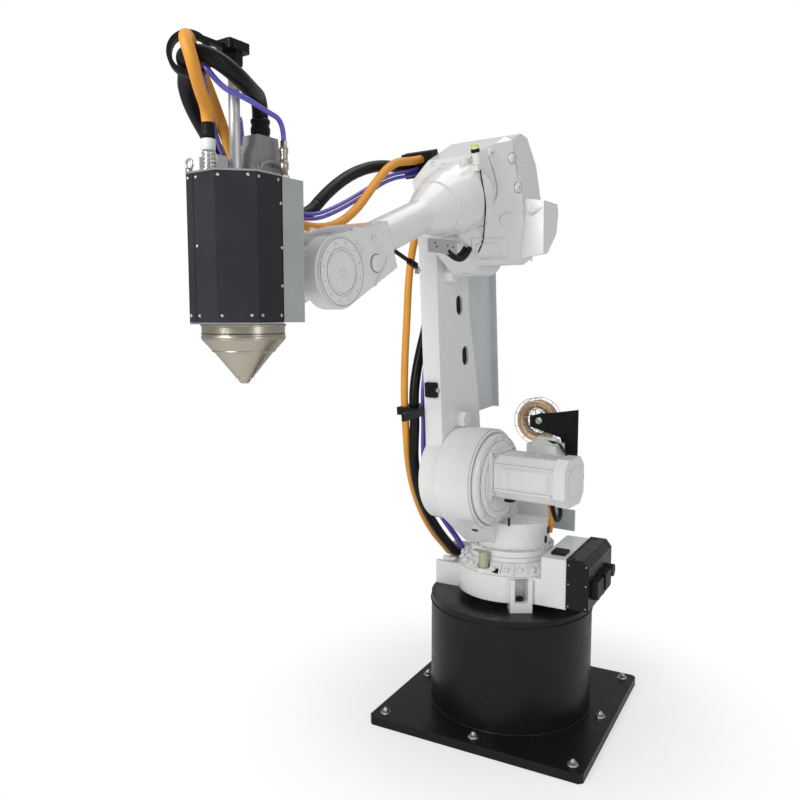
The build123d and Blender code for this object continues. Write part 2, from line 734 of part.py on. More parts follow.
yoke_start = TUBE_END + SEAT
cheek_start = FOREARM_LENGTH - HEAD_R - 14
with BuildPart() as wrist_yoke:
    with BuildSketch(fore_side.offset(-YOKE_HALF)):
        with Locations(along(FOREARM_LENGTH, ELBOW_OFFSET)):
            Circle(YOKE_R)
        with BuildLine():
            Polyline(
                along(yoke_start, ELBOW_OFFSET - 66),
                along(yoke_start, ELBOW_OFFSET + 66),
                along(FOREARM_LENGTH, ELBOW_OFFSET + YOKE_R),
                along(FOREARM_LENGTH, ELBOW_OFFSET - YOKE_R),
                close=True,
            )
        make_face()
    extrude(amount=2 * YOKE_HALF)
    with BuildSketch(fore_side.offset(-CHEEK_INNER)):
        with Locations(along(cheek_start + 150, ELBOW_OFFSET)):
            Rectangle(300, 4 * YOKE_R)
    extrude(amount=2 * CHEEK_INNER, mode=Mode.SUBTRACT)
save(wrist_yoke, "wrist_yoke")

wrist_centre = along(FOREARM_LENGTH, ELBOW_OFFSET)
with BuildPart() as yoke_covers:
    for plane, amount in (
        (fore_side.offset(YOKE_HALF + SEAT), WRIST_COVER_THICK),
        (fore_side.offset(-YOKE_HALF - SEAT), -WRIST_COVER_THICK),
    ):
        with BuildSketch(plane):
            with Locations(wrist_centre):
                Circle(WRIST_COVER_R)
        extrude(amount=amount)
save(yoke_covers, "yoke_covers")

with BuildPart() as strut_bracket:
    with BuildSketch(fore_side.offset(-12)):
        with BuildLine():
            Polyline(
                along(560, ELBOW_OFFSET - TUBE_R - SEAT),
                along(600, ELBOW_OFFSET - TUBE_R - SEAT),
                along(560, ELBOW_OFFSET - TUBE_R - 40),
                along(470, ELBOW_OFFSET - TUBE_R - 60),
                along(466, ELBOW_OFFSET - TUBE_R - 44),
                close=True,
            )
        make_face()
    extrude(amount=24)
save(strut_bracket, "strut_bracket")

# Wrist head between the cheeks, turning on axis 5
with BuildPart() as wrist_head:
    with BuildSketch(wrist_side.offset(-HEAD_HALF)):
        Circle(HEAD_R)
    extrude(amount=2 * HEAD_HALF)
    with BuildSketch(wrist_side):
        with BuildLine():
            reach = FLANGE_REACH - FLANGE_THICK - RUN_GAP
            Polyline((0, 0), (0, 56), (-reach, 56), (-reach, 0), close=True)
        make_face()
    revolve(axis=flange_line)
save(wrist_head, "wrist_head")

with BuildPart() as tool_flange:
    with BuildSketch(wrist_side):
        with BuildLine():
            start, end = FLANGE_REACH - FLANGE_THICK, FLANGE_REACH
            Polyline((-start, 0), (-start, FLANGE_R), (-end, FLANGE_R), (-end, 0), close=True)
        make_face()
    revolve(axis=flange_line)
save(tool_flange, "tool_flange")

# Tool head: a box on the flange, a faceted shell in front, and the nozzle below
box_face = FLANGE_REACH + SEAT
shell_face = box_face + TOOL_BOX_DEEP + SEAT
shell_front = shell_face + TOOL_SHELL_DEEP
tool_low_plane = plan_plane(wrist_forward, wrist_up + TOOL_LOW)
tool_tall = TOOL_HIGH - TOOL_LOW
with BuildPart() as tool_box:
    with BuildSketch(tool_low_plane):
        with Locations((0, -box_face - TOOL_BOX_DEEP / 2)):
            Rectangle(2 * TOOL_HALF, TOOL_BOX_DEEP)
    extrude(amount=tool_tall)
save(tool_box, "tool_box")

facet = TOOL_HALF - TOOL_FRONT_HALF
shell_outline = [
    (-TOOL_HALF, -shell_face),
    (-TOOL_HALF, -shell_front + facet),
    (-TOOL_FRONT_HALF, -shell_front),
    (TOOL_FRONT_HALF, -shell_front),
    (TOOL_HALF, -shell_front + facet),
    (TOOL_HALF, -shell_face),
]
with BuildPart() as tool_shell:
    with BuildSketch(tool_low_plane):
        with BuildLine():
            Polyline(*shell_outline, close=True)
        make_face()
    extrude(amount=tool_tall)
save(tool_shell, "tool_shell")

with BuildPart() as tool_plates:
    for height, amount in ((tool_tall + SEAT, TOOL_PLATE_THICK), (-SEAT, -TOOL_PLATE_THICK)):
        with BuildSketch(tool_low_plane.offset(height)):
            with BuildLine():
                Polyline(*shell_outline, close=True)
            make_face()
        extrude(amount=amount)
save(tool_plates, "tool_plates")

nozzle_top = -2 * SEAT - TOOL_PLATE_THICK
nozzle_plane = Plane(
    origin=arm_point(0, wrist_forward + NOZZLE_OUT, wrist_up + TOOL_LOW + nozzle_top),
    x_dir=near_side(),
    z_dir=wrist_side.x_dir,
)
nozzle_line = Axis(nozzle_plane.origin, (0, 0, 1))
with BuildPart() as nozzle_ring:
    with BuildSketch(nozzle_plane):
        with BuildLine():
            Polyline(
                (0, 0),
                (NOZZLE_R, 0),
                (NOZZLE_R, NOZZLE_RING_TALL),
                (NOZZLE_SHOULDER_R, NOZZLE_RING_TALL + NOZZLE_TAPER_TALL),
                (0, NOZZLE_RING_TALL + NOZZLE_TAPER_TALL),
                close=True,
            )
        make_face()
    revolve(axis=nozzle_line)
save(nozzle_ring, "nozzle_ring")

cone_start = NOZZLE_RING_TALL + NOZZLE_TAPER_TALL + SEAT
with BuildPart() as nozzle_cone:
    with BuildSketch(nozzle_plane):
        with BuildLine():
            Polyline(
                (0, cone_start),
                (NOZZLE_SHOULDER_R - 2, cone_start),
                (NOZZLE_TIP_R, cone_start + NOZZLE_CONE_TALL),
                (0, cone_start + NOZZLE_CONE_TALL),
                close=True,
            )
        make_face()
    revolve(axis=nozzle_line)
save(nozzle_cone, "nozzle_cone")

tool_top = TOOL_HIGH + 2 * SEAT + TOOL_PLATE_THICK
tool_top_plane = plan_plane(wrist_forward, wrist_up + tool_top)
with BuildPart() as tool_mast:
    with BuildSketch(tool_top_plane):
        with Locations((0, -MAST_OUT)):
            Circle(MAST_R)
    extrude(amount=MAST_TOP - tool_top)
save(tool_mast, "tool_mast")

straight_on = near_side().cross(Vector(0, 0, 1))
ring_plane = Plane(
    origin=arm_point(0, wrist_forward + RING_OUT, wrist_up + RING_UP),
    x_dir=near_side() - straight_on,
    z_dir=near_side() + straight_on,
)
with BuildPart() as hose_ring:
    with BuildSketch(plan_plane(wrist_forward, wrist_up + MAST_TOP + SEAT)):
        with Locations((0, -MAST_OUT)):
            RectangleRounded(48, 64, 6)
    extrude(amount=22)
    with BuildSketch(plan_plane(wrist_forward, wrist_up + MAST_TOP + SEAT)):
        with Locations((0, -(MAST_OUT + RING_OUT) / 2)):
            Rectangle(16, RING_OUT - MAST_OUT - 6)
    extrude(amount=10)
    with BuildSketch(ring_plane.offset(-HOSE_RING_WIDE / 2)):
        Circle(HOSE_RING_R + HOSE_RING_WALL)
        Circle(HOSE_RING_R, mode=Mode.SUBTRACT)
    extrude(amount=HOSE_RING_WIDE)
save(hose_ring, "hose_ring")

with BuildPart() as top_fittings:
    with BuildSketch(tool_top_plane):
        with Locations((0, -SUPPLY_OUT)):
            Circle(15)
    extrude(amount=SUPPLY_TALL)
    with BuildSketch(tool_top_plane):
        with Locations((AIR_FITTING[0], -AIR_FITTING[1]), (WATER_FITTING[0], -WATER_FITTING[1])):
            Circle(9)
    extrude(amount=FITTING_TALL)
save(top_fittings, "top_fittings")

with BuildPart() as power_plug:
    with BuildSketch(tool_top_plane):
        with Locations((0, -PLUG_OUT)):
            RectangleRounded(44, 74, 6)
    extrude(amount=PLUG_BODY_TALL)
    with BuildSketch(tool_top_plane.offset(PLUG_BODY_TALL)):
        with Locations((0, -PLUG_OUT)):
            Circle(25)
    extrude(amount=GLAND_TALL)
save(power_plug, "power_plug")


# Hoses: a power hose, a supply hose and two thin tubes, routed in arm coordinates
def beside(route, side, across):
    """A route that runs beside another, shifted to the side and square to its runs."""
    shifted = []
    for before, point, after in zip(route[:1] + route, route, route[1:] + route[-1:]):
        square = (after - before).normalized().cross(near_side()).normalized()
        shifted.append(point + near_side() * side + square * across)
    return shifted


def corner_radii(route):
    """The largest arc that each corner of a route allows."""
    radii = []
    for before, corner, after in zip(route, route[1:], route[2:]):
        run_in, run_out = corner - before, after - corner
        shorter = min(run_in.length, run_out.length)
        radii.append(ARC_SHARE * shorter / tan(radians(run_in.get_angle(run_out) / 2)))
    return radii


def span_points(route, first, last):
    """The points of a route between the middles of two of its runs, ends included."""
    start = route[0] if first == 0 else (route[first] + route[first + 1]) / 2
    end = route[-1] if last == len(route) - 2 else (route[last] + route[last + 1]) / 2
    return [start, *route[first + 1 : last + 1], end]


def fore_point(side, distance, height):
    """A point by its side, and its distance and height in the forearm's own plane."""
    return fore_side.from_local_coords((-distance, height, side))


def ring_points(across, up):
    """Where a hose enters and leaves the ring, straight through it."""
    return [ring_plane.from_local_coords((across, up, depth)) for depth in (-40, 40)]


def tool_point(side, forward, up):
    """A point measured from the wrist centre."""
    return arm_point(side, wrist_forward + forward, wrist_up + up)


fitting_top = tool_top + FITTING_TALL + SEAT
plug_top = tool_top + PLUG_BODY_TALL + GLAND_TALL + SEAT
supply_top = tool_top + SUPPLY_TALL + SEAT
bulkhead_up = PEDESTAL_HEIGHT + SEAT
power_route = [
    Vector(-248, BULKHEAD_FACE - SEAT, bulkhead_up + 118),
    Vector(-248, 16, bulkhead_up + 119),
    arm_point(-254, 44, 152),
    arm_point(-262, 122, 226),
    arm_point(-266, 214, 330),
    arm_point(-267, 282, 446),
    arm_point(-266, 312, 560),
    arm_point(-266, 308, 650),
    arm_point(-266, 303.5, 705),
    arm_point(-266, 312.5, 822),
    arm_point(-266, 280, 945),
    arm_point(-264, 222, 1080),
    arm_point(-262, 192, 1220),
    arm_point(-258, 180, 1370),
    arm_point(-250, 180, 1500),
    arm_point(-234, 206, 1608),
    fore_point(-210, -52, 289),
    fore_point(-210, 120, 291),
    fore_point(-208, 260, 332),
    fore_point(-206, 410, 340),
    fore_point(-206, 555, 314),
    fore_point(-206, 690, 262),
    tool_point(-204, -90, 196),
    tool_point(-188, 52, 238),
    tool_point(-150, 176, 310),
    tool_point(-104, 300, 400),
    *ring_points(-10, -12),
    tool_point(74, 384, 436),
    tool_point(86, 322, 410),
    tool_point(52, 238, 396),
    tool_point(0, PLUG_OUT, plug_top + 46),
    tool_point(0, PLUG_OUT, plug_top),
]
supply_route = [
    Vector(-285, BULKHEAD_FACE - SEAT, bulkhead_up + 114),
    Vector(-285, 22, bulkhead_up + 115),
    arm_point(-288, 36, 148),
    arm_point(-298, 110, 216),
    arm_point(-303, 196, 322),
    arm_point(-304, 262, 440),
    arm_point(-303, 298, 556),
    arm_point(-301, 310, 650),
    arm_point(-300, 318, 705),
    arm_point(-300, 327, 822),
    arm_point(-298, 324, 960),
    arm_point(-294, 316, 1110),
    arm_point(-288, 314, 1260),
    arm_point(-270, 304, 1400),
    arm_point(-230, 288, 1506),
    arm_point(-171, 264, 1602),
    fore_point(-160, -60, 300),
    fore_point(-160, 125, 310),
    fore_point(-160, 250, 334),
    fore_point(-157, 380, 290),
    fore_point(-152, 510, 236),
    fore_point(-150, 640, 218),
    tool_point(-148, -150, 142),
    tool_point(-134, 0, 178),
    tool_point(-98, 150, 256),
    tool_point(-70, 240, 384),
    *ring_points(2, 23),
    tool_point(58, 434, 463),
    tool_point(76, 432, 416),
    tool_point(46, 388, 372),
    tool_point(0, SUPPLY_OUT, supply_top + 38),
    tool_point(0, SUPPLY_OUT, supply_top),
]
air_low = [
    Vector(-219, BULKHEAD_FACE - SEAT, bulkhead_up + 114),
    Vector(-219, 26, bulkhead_up + 116),
    arm_point(-219, 20, 150),
    arm_point(-217, 92, 220),
    arm_point(-226, 176, 310),
    arm_point(-235, 246, 412),
    arm_point(-236, 286, 516),
    arm_point(-236, 298, 612),
    arm_point(-236, 293, 705),
    arm_point(-236, 302, 822),
    arm_point(-236, 276, 945),
    arm_point(-238, 206, 1080),
    arm_point(-236, 168, 1220),
    arm_point(-234, 152, 1370),
    arm_point(-232, 150, 1490),
    arm_point(-213, 186, 1602),
    fore_point(-182, -60, 261),
    fore_point(-182, 120, 263),
    fore_point(-180, 260, 282),
    fore_point(-178, 400, 266),
    fore_point(-178, 555, 252),
    fore_point(-176, 690, 254),
]
air_route = air_low + [
    tool_point(-174, -90, 178),
    tool_point(-158, 50, 224),
    tool_point(-132, 166, 282),
    tool_point(-50, 274, 362),
    *ring_points(22, -18),
    tool_point(77, 350, 372),
    tool_point(84, 292, 366),
    tool_point(80, 222, 352),
    tool_point(*AIR_FITTING, fitting_top + 46),
    tool_point(*AIR_FITTING, fitting_top),
]
water_route = beside(air_low, 0, 14)
water_route[:2] = [
    Vector(-220, BULKHEAD_FACE - SEAT, bulkhead_up + 131),
    Vector(-220, 30, bulkhead_up + 133),
]
water_route += [
    tool_point(-174, -92, 193),
    tool_point(-158, 24, 242),
    tool_point(-130, 96, 322),
    tool_point(-108, 122, 366),
    tool_point(-82, 150, 378),
    tool_point(*WATER_FITTING, fitting_top + 52),
    tool_point(*WATER_FITTING, fitting_top + 0.5),
]
hoses = {
    "power": (power_route, POWER_R),
    "supply": (supply_route, SUPPLY_R),
    "air": (air_route, AIR_R),
    "water": (water_route, AIR_R),
}
# First and last run of each span: a span ends in the middle of a run, where a joint or a clamp is
hose_spans = {
    "hoses_base": (0, 3),
    "hoses_shoulder": (3, 8),
    "hoses_arm": (8, 13),
    "hoses_elbow": (13, 16),
    "hoses_forearm": (16, 20),
    "hoses_wrist": (20, 23),
    "hoses_tool": (23, 26),
    "hoses_top": (26, 31),
}
for name, (first, end) in hose_spans.items():
    with BuildPart() as span:
        for label, (route, radius) in hoses.items():
            if first > len(route) - 2:
                continue
            last = min(end, len(route) - 2)
            radii = corner_radii(route)[first:last]
            with BuildLine() as path:
                FilletPolyline(*span_points(route, first, last), radius=radii)
            line = path.wire()
            with BuildSketch(Plane(origin=line @ 0, z_dir=line % 0)):
                Circle(radius)
            sweep()
            print(name, label, "length", round(line.length), "radii", [round(r) for r in radii])
    save(span, name)
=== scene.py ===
"""The looks of the robot arm on its pedestal: finishes, fasteners, hoses, fittings and the studio."""

import json
from math import atan2, cos, degrees, pi, radians, sin, tau

import bpy
from mathutils import Matrix, Vector


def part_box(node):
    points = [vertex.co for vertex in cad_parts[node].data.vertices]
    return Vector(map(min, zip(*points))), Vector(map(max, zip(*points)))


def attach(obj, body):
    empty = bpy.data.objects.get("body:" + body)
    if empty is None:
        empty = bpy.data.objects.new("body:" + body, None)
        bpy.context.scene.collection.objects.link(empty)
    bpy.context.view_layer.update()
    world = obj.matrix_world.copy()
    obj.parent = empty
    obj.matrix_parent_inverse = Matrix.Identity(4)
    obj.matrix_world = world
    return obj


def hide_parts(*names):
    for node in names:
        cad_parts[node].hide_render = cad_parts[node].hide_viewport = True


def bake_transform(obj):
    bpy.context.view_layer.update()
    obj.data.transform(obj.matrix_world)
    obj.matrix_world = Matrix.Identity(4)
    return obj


bl_info = {
    "name": "Robot arm dressing",
    "version": (1, 0, 0),
    "blender": (4, 5, 0),
    "location": "View3D > Sidebar > Robot arm",
    "description": "Adds finishes, fasteners, hoses and fittings to the packed robot arm",
    "category": "Object",
}

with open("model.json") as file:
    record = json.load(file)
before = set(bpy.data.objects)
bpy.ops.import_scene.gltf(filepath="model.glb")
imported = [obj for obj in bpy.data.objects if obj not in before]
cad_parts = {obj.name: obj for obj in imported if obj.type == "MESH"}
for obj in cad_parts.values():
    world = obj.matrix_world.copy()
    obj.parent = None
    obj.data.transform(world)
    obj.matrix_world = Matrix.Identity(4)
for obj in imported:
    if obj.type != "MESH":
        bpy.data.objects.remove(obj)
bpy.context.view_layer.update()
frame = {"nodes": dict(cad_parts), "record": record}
NODES = frame["nodes"]
SLOT_OF = {p["node"]: p["material_slot"] for p in frame["record"]["subparts"]}
MM = 0.001

# Pose of the arm in its own frames, in millimetres and degrees
TURN = radians(-6.3)
LEAN = radians(4.4)
DIP = radians(20.8)
PEDESTAL = 470.0
ELBOW = (244.045, 1392.347)
WRIST = (1203.632, 1215.039)
SHOULDER = (175.0, 495.0)


def arm(side, forward, up):
    """A point by its distance to the motor side, in front of axis 1 and above the robot's base."""
    x = side * cos(TURN) + forward * sin(TURN)
    y = side * sin(TURN) - forward * cos(TURN)
    return Vector((x, y, PEDESTAL + up)) * MM


def fore(side, along, height):
    """A point by its side, its distance along the forearm from the elbow and its height over it."""
    forward = ELBOW[0] + along * cos(DIP) + height * sin(DIP)
    up = ELBOW[1] - along * sin(DIP) + height * cos(DIP)
    return arm(side, forward, up)


def link(side, rear, along):
    """A point by its side, its distance to the rear of the lower arm's line and along it."""
    forward = SHOULDER[0] + along * sin(LEAN) - rear * cos(LEAN)
    up = SHOULDER[1] + along * cos(LEAN) + rear * sin(LEAN)
    return arm(side, forward, up)


def tool(side, forward, up):
    """A point measured from the wrist centre."""
    return arm(side, WRIST[0] + forward, WRIST[1] + up)


def spot(x, y, z):
    """A point by its place in the row frame, in millimetres."""
    return Vector((x, y, z)) * MM


def level_way(turn):
    """The direction across z at an angle about it."""
    return Vector((cos(turn), sin(turn), 0))


# Up, to the motor side, to the front, along the lower arm, along the forearm and square to it
UP = Vector((0, 0, 1))
NEAR = (arm(1, 0, 0) - arm(0, 0, 0)).normalized()
AHEAD = (arm(0, 1, 0) - arm(0, 0, 0)).normalized()
RISE = (link(0, 0, 1) - link(0, 0, 0)).normalized()
ALONG = (fore(0, 1, 0) - fore(0, 0, 0)).normalized()
OVER = (fore(0, 0, 1) - fore(0, 0, 0)).normalized()


# ------------------------------------------------------------------ shapes


class Shape:
    """Points and faces gathered from simple solids, in metres."""

    def __init__(self):
        self.points, self.faces, self.smooth = [], [], []

    def add(self, points, faces, at=None, smooth=True):
        first = len(self.points)
        self.points += [at @ p if at else p for p in points]
        self.faces += [[first + i for i in face] for face in faces]
        self.smooth += [smooth] * len(faces)
        return self

    def turned(self, outline, at, sides=32, smooth=True, start=0.0):
        """A solid of revolution about z, from (radius, height) pairs in mm that run from foot to top.

        An outline that ends where it starts makes a ring, and any other gets flat ends.
        """
        points = []
        for radius, height in outline:
            for i in range(sides):
                a = start + tau * i / sides
                points.append(Vector((radius * cos(a), radius * sin(a), height)) * MM)
        faces = side_faces(len(outline), sides)
        closed = tuple(outline[0]) == tuple(outline[-1])
        if outline[0][0] > 0 and not closed:
            faces.append(list(range(sides))[::-1])
        if outline[-1][0] > 0 and not closed:
            last = (len(outline) - 1) * sides
            faces.append([last + i for i in range(sides)])
        return self.add(points, faces, at, smooth)

    def block(self, size, at):
        """A box of size (x, y, z) in mm standing on the xy plane."""
        x, y, z = (s * MM for s in size)
        points = [Vector((i * x / 2, j * y / 2, k * z)) for k in (0, 1) for j in (-1, 1) for i in (-1, 1)]
        faces = [(0, 2, 3, 1), (4, 5, 7, 6), (0, 1, 5, 4), (2, 6, 7, 3), (0, 4, 6, 2), (1, 3, 7, 5)]
        return self.add(points, faces, at, False)

    def prism(self, outline, tall, at):
        """A flat outline of (x, y) pairs in mm, anticlockwise, raised by tall."""
        n = len(outline)
        points = [Vector((x, y, z)) * MM for z in (0, tall) for x, y in outline]
        faces = [[i, (i + 1) % n, n + (i + 1) % n, n + i] for i in range(n)]
        faces += [list(range(n))[::-1], [n + i for i in range(n)]]
        return self.add(points, faces, at, False)

    def tube(self, line, radius, sides=12):
        """A round bar along a line of points in metres, closed at both ends."""
        points = []
        for centre, across, over in frames_along(line):
            for i in range(sides):
                a = tau * i / sides
                points.append(centre + (across * cos(a) + over * sin(a)) * radius * MM)
        last = (len(line) - 1) * sides
        ends = [list(range(sides))[::-1], [last + i for i in range(sides)]]
        return self.add(points, side_faces(len(line), sides) + ends)

    def hoop(self, radius, thick, at, sides=64, round_sides=10):
        """A closed ring of round bar about z, radius to the bar's centre, in mm."""
        points, faces = [], []
        for i in range(sides):
            a = tau * i / sides
            for j in range(round_sides):
                b = tau * j / round_sides
                r = radius + thick * cos(b)
                points.append(Vector((r * cos(a), r * sin(a), thick * sin(b))) * MM)
        for i in range(sides):
            for j in range(round_sides):
                here, there, up = i * round_sides, (i + 1) % sides * round_sides, (j + 1) % round_sides
                faces.append([here + j, there + j, there + up, here + up])
        return self.add(points, faces, at)

    def build(self, name, material):
        mesh = bpy.data.meshes.new(name)
        mesh.from_pydata([tuple(p) for p in self.points], [], self.faces)
        mesh.polygons.foreach_set("use_smooth", self.smooth)
        mesh.materials.append(material)
        mesh.update()
        return new_object(name, mesh)

    def fit(self, name, finish, body, slot=None):
        """Builds the piece with a finish, for a body. The slot argument is not used."""
        return dress(self.build(name, FINISH[finish]), body)


def new_object(name, data):
    """An object in the scene for some data."""
    made = bpy.data.objects.new(name, data)
    bpy.context.scene.collection.objects.link(made)
    return made


def side_faces(rows, sides):
    """The faces between rows of points that go round a solid."""
    faces = []
    for low in range(0, (rows - 1) * sides, sides):
        high = low + sides
        for i in range(sides):
            j = (i + 1) % sides
            faces.append([low + i, low + j, high + j, high + i])
    return faces


def dress(piece, body):
    """Lets a finished piece ride on a body."""
    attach(piece, body)
    return piece


def facing(point, z_dir, x_dir=None):
    """The matrix that stands a shape at a point, its z along z_dir and its x as near x_dir as it can be."""
    z = z_dir.normalized()
    hint = x_dir if x_dir is not None else (UP if abs(z.z) < 0.9 else NEAR)
    y = z.cross(hint).normalized()
    x = y.cross(z)
    return Matrix.Translation(point) @ Matrix((x, y, z)).transposed().to_4x4()


def frames_along(line):
    """Each point of a line with two directions across it that turn as little as they can."""
    across = None
    for i, centre in enumerate(line):
        run = (line[min(i + 1, len(line) - 1)] - line[max(i - 1, 0)]).normalized()
        if across is None:
            across = run.cross(UP if abs(run.z) < 0.9 else NEAR).normalized()
        across = (across - run * across.dot(run)).normalized()
        yield centre, across, run.cross(across)


# ------------------------------------------------------------------ finishes


SHARED = {}
FINISH = {}


def setting(node, **values):
    """Gives a node its settings, in small letters, and its inputs, by their capitalised names."""
    for label, value in values.items():
        if label[0].islower():
            setattr(node, label, value)
        else:
            node.inputs[label.replace("_", " ")].default_value = value
    return node


def new_node(tree, kind, **values):
    """A new node with its settings and inputs."""
    return setting(tree.nodes.new(kind), **values)


def wire(tree, *links):
    """Joins nodes, each link as (node, output, node, input)."""
    for source, output, target, socket in links:
        tree.links.new(source.outputs[output], target.inputs[socket])


def group(name, numbers, output, kind):
    """A shader node group with numbers to set and one output, for effects that several finishes share."""
    tree = bpy.data.node_groups.new(name, "ShaderNodeTree")
    for label, value in numbers:
        made = tree.interface.new_socket(label, in_out="INPUT", socket_type="NodeSocketFloat")
        made.default_value = value
    tree.interface.new_socket(output, in_out="OUTPUT", socket_type=kind)
    return tree, tree.nodes.new("NodeGroupInput"), tree.nodes.new("NodeGroupOutput")


def make_cloudy():
    """Slow unevenness between two values, for roughness, dust and tone."""
    numbers = (("Scale", 8.0), ("Detail", 4.0), ("Low", 0.3), ("High", 0.4))
    tree, start, end = group("Cloudy", numbers, "Value", "NodeSocketFloat")
    place = new_node(tree, "ShaderNodeTexCoord")
    noise = new_node(tree, "ShaderNodeTexNoise")
    spread = new_node(tree, "ShaderNodeMapRange", From_Min=0.3, From_Max=0.7)
    wire(
        tree,
        (place, "Object", noise, "Vector"),
        (start, "Scale", noise, "Scale"),
        (start, "Detail", noise, "Detail"),
        (noise, "Fac", spread, "Value"),
        (start, "Low", spread, "To Min"),
        (start, "High", spread, "To Max"),
        (spread, "Result", end, "Value"),
    )
    return tree


def make_grain():
    """A fine uneven surface, as a normal, on top of edges softened by a small radius."""
    numbers = (("Scale", 300.0), ("Depth", 0.0002), ("Strength", 0.2), ("Edge", 0.002))
    tree, start, end = group("Grain", numbers, "Normal", "NodeSocketVector")
    place = new_node(tree, "ShaderNodeTexCoord")
    noise = new_node(tree, "ShaderNodeTexNoise", Detail=2.0)
    bump = new_node(tree, "ShaderNodeBump")
    edge = new_node(tree, "ShaderNodeBevel", samples=4)
    wire(
        tree,
        (place, "Object", noise, "Vector"),
        (start, "Scale", noise, "Scale"),
        (noise, "Fac", bump, "Height"),
        (start, "Depth", bump, "Distance"),
        (start, "Strength", bump, "Strength"),
        (start, "Edge", edge, "Radius"),
        (edge, "Normal", bump, "Normal"),
        (bump, "Normal", end, "Normal"),
    )
    return tree


DARK = 0.05


def finish_of(name, colour, tone, rough, metal=0.0, coat=0.0, grain=(300.0, 0.2), cloud=6.0, edge=0.0015):
    """A painted, moulded or metal finish: two tones in clouds, uneven shine and a fine grain.

    The second tone is a shade darker where none is given, and dark finishes shine less.
    """
    made = bpy.data.materials.new(name)
    made.use_nodes = True
    tree = made.node_tree
    glint = 0.5 if max(colour) > DARK else 0.22
    shader = tree.nodes["Principled BSDF"]
    setting(shader, Metallic=metal, Coat_Weight=coat, Specular_IOR_Level=glint, Coat_Roughness=0.12)
    second = tone or tuple(c * 0.9 for c in colour)
    blend = new_node(tree, "ShaderNodeMix", data_type="RGBA")
    blend.inputs["A"].default_value = (*colour, 1)
    blend.inputs["B"].default_value = (*second, 1)
    cloudy, grainy = SHARED["cloudy"], SHARED["grain"]
    stain = new_node(tree, "ShaderNodeGroup", node_tree=cloudy, Scale=cloud, Detail=5.0, Low=0.0, High=1.0)
    shine = new_node(
        tree, "ShaderNodeGroup", node_tree=cloudy, Scale=cloud * 3, Detail=3.0, Low=rough[0], High=rough[1]
    )
    skin = new_node(tree, "ShaderNodeGroup", node_tree=grainy, Scale=grain[0], Strength=grain[1], Edge=edge)
    wire(
        tree,
        (stain, "Value", blend, "Factor"),
        (blend, "Result", shader, "Base Color"),
        (shine, "Value", shader, "Roughness"),
        (skin, "Normal", shader, "Normal"),
    )
    FINISH[name] = made


def raise_by(tree, node, output, depth, share):
    """Raises a finish by a pattern, on top of the grain that it has."""
    shader = tree.nodes["Principled BSDF"]
    skin = shader.inputs["Normal"].links[0].from_socket
    bump = new_node(tree, "ShaderNodeBump", Distance=depth, Strength=share)
    tree.links.new(skin, bump.inputs["Normal"])
    wire(tree, (node, output, bump, "Height"), (bump, "Normal", shader, "Normal"))


def ribbed(name, pitch, depth):
    """Adds rings along a hose's finish: its own length in metres is the first UV coordinate."""
    tree = FINISH[name].node_tree
    along = new_node(tree, "ShaderNodeUVMap", uv_map="Run")
    split = new_node(tree, "ShaderNodeSeparateXYZ")
    wave = new_node(tree, "ShaderNodeMath", operation="MULTIPLY")
    wave.inputs[1].default_value = tau / pitch
    sine = new_node(tree, "ShaderNodeMath", operation="SINE")
    wire(tree, (along, "UV", split, "Vector"), (split, "X", wave, 0), (wave, "Value", sine, 0))
    raise_by(tree, sine, "Value", depth, 0.6)


def lined(name, scale, depth, direction="Z"):
    """Adds fine parallel lines to a finish, such as a turned metal's or a wound wire's."""
    tree = FINISH[name].node_tree
    place = new_node(tree, "ShaderNodeTexCoord")
    lines = new_node(
        tree, "ShaderNodeTexWave", bands_direction=direction, Scale=scale, Distortion=0.6, Detail=2.0
    )
    wire(tree, (place, "Object", lines, "Vector"))
    raise_by(tree, lines, "Fac", depth, 0.35)


class DressFinishes(bpy.types.PropertyGroup):
    """Colours that a user would change."""

    castings: bpy.props.FloatVectorProperty(
        name="Castings", description="Paint of the arm's castings", subtype="COLOR", size=3, min=0, max=1,
        default=(0.80, 0.80, 0.79),
    )
    pedestal: bpy.props.FloatVectorProperty(
        name="Pedestal", description="Paint of the plate, drum and brackets", subtype="COLOR", size=3, min=0,
        max=1, default=(0.007, 0.007, 0.0075),
    )
    shell: bpy.props.FloatVectorProperty(
        name="Tool shell", description="Anodised front of the tool", subtype="COLOR", size=3, min=0, max=1,
        default=(0.030, 0.028, 0.034),
    )
    sheet: bpy.props.FloatVectorProperty(
        name="Sheet metal", description="Grey paint of the sheet metal", subtype="COLOR", size=3, min=0,
        max=1, default=(0.42, 0.44, 0.44),
    )
    supply: bpy.props.FloatVectorProperty(
        name="Supply hose", description="Colour of the supply hose", subtype="COLOR", size=3, min=0, max=1,
        default=(0.80, 0.34, 0.035),
    )
    air: bpy.props.FloatVectorProperty(
        name="Air hoses", description="Colour of the two thin hoses", subtype="COLOR", size=3, min=0, max=1,
        default=(0.13, 0.11, 0.60),
    )


class DressSizes(bpy.types.PropertyGroup):
    """Sizes that a user would change."""

    power: bpy.props.FloatProperty(
        name="Power hose radius", description="Radius of the power hose", subtype="DISTANCE", unit="LENGTH",
        default=0.019, min=0.005, max=0.03,
    )
    supply: bpy.props.FloatProperty(
        name="Supply hose radius", description="Radius of the supply hose", subtype="DISTANCE", unit="LENGTH",
        default=0.014, min=0.004, max=0.02,
    )
    air: bpy.props.FloatProperty(
        name="Air hose radius", description="Radius of the two thin hoses", subtype="DISTANCE", unit="LENGTH",
        default=0.006, min=0.002, max=0.01,
    )
    step: bpy.props.FloatProperty(
        name="Hose step", description="Distance between the rings of points on a hose", subtype="DISTANCE",
        unit="LENGTH", default=0.008, min=0.003, max=0.03,
    )


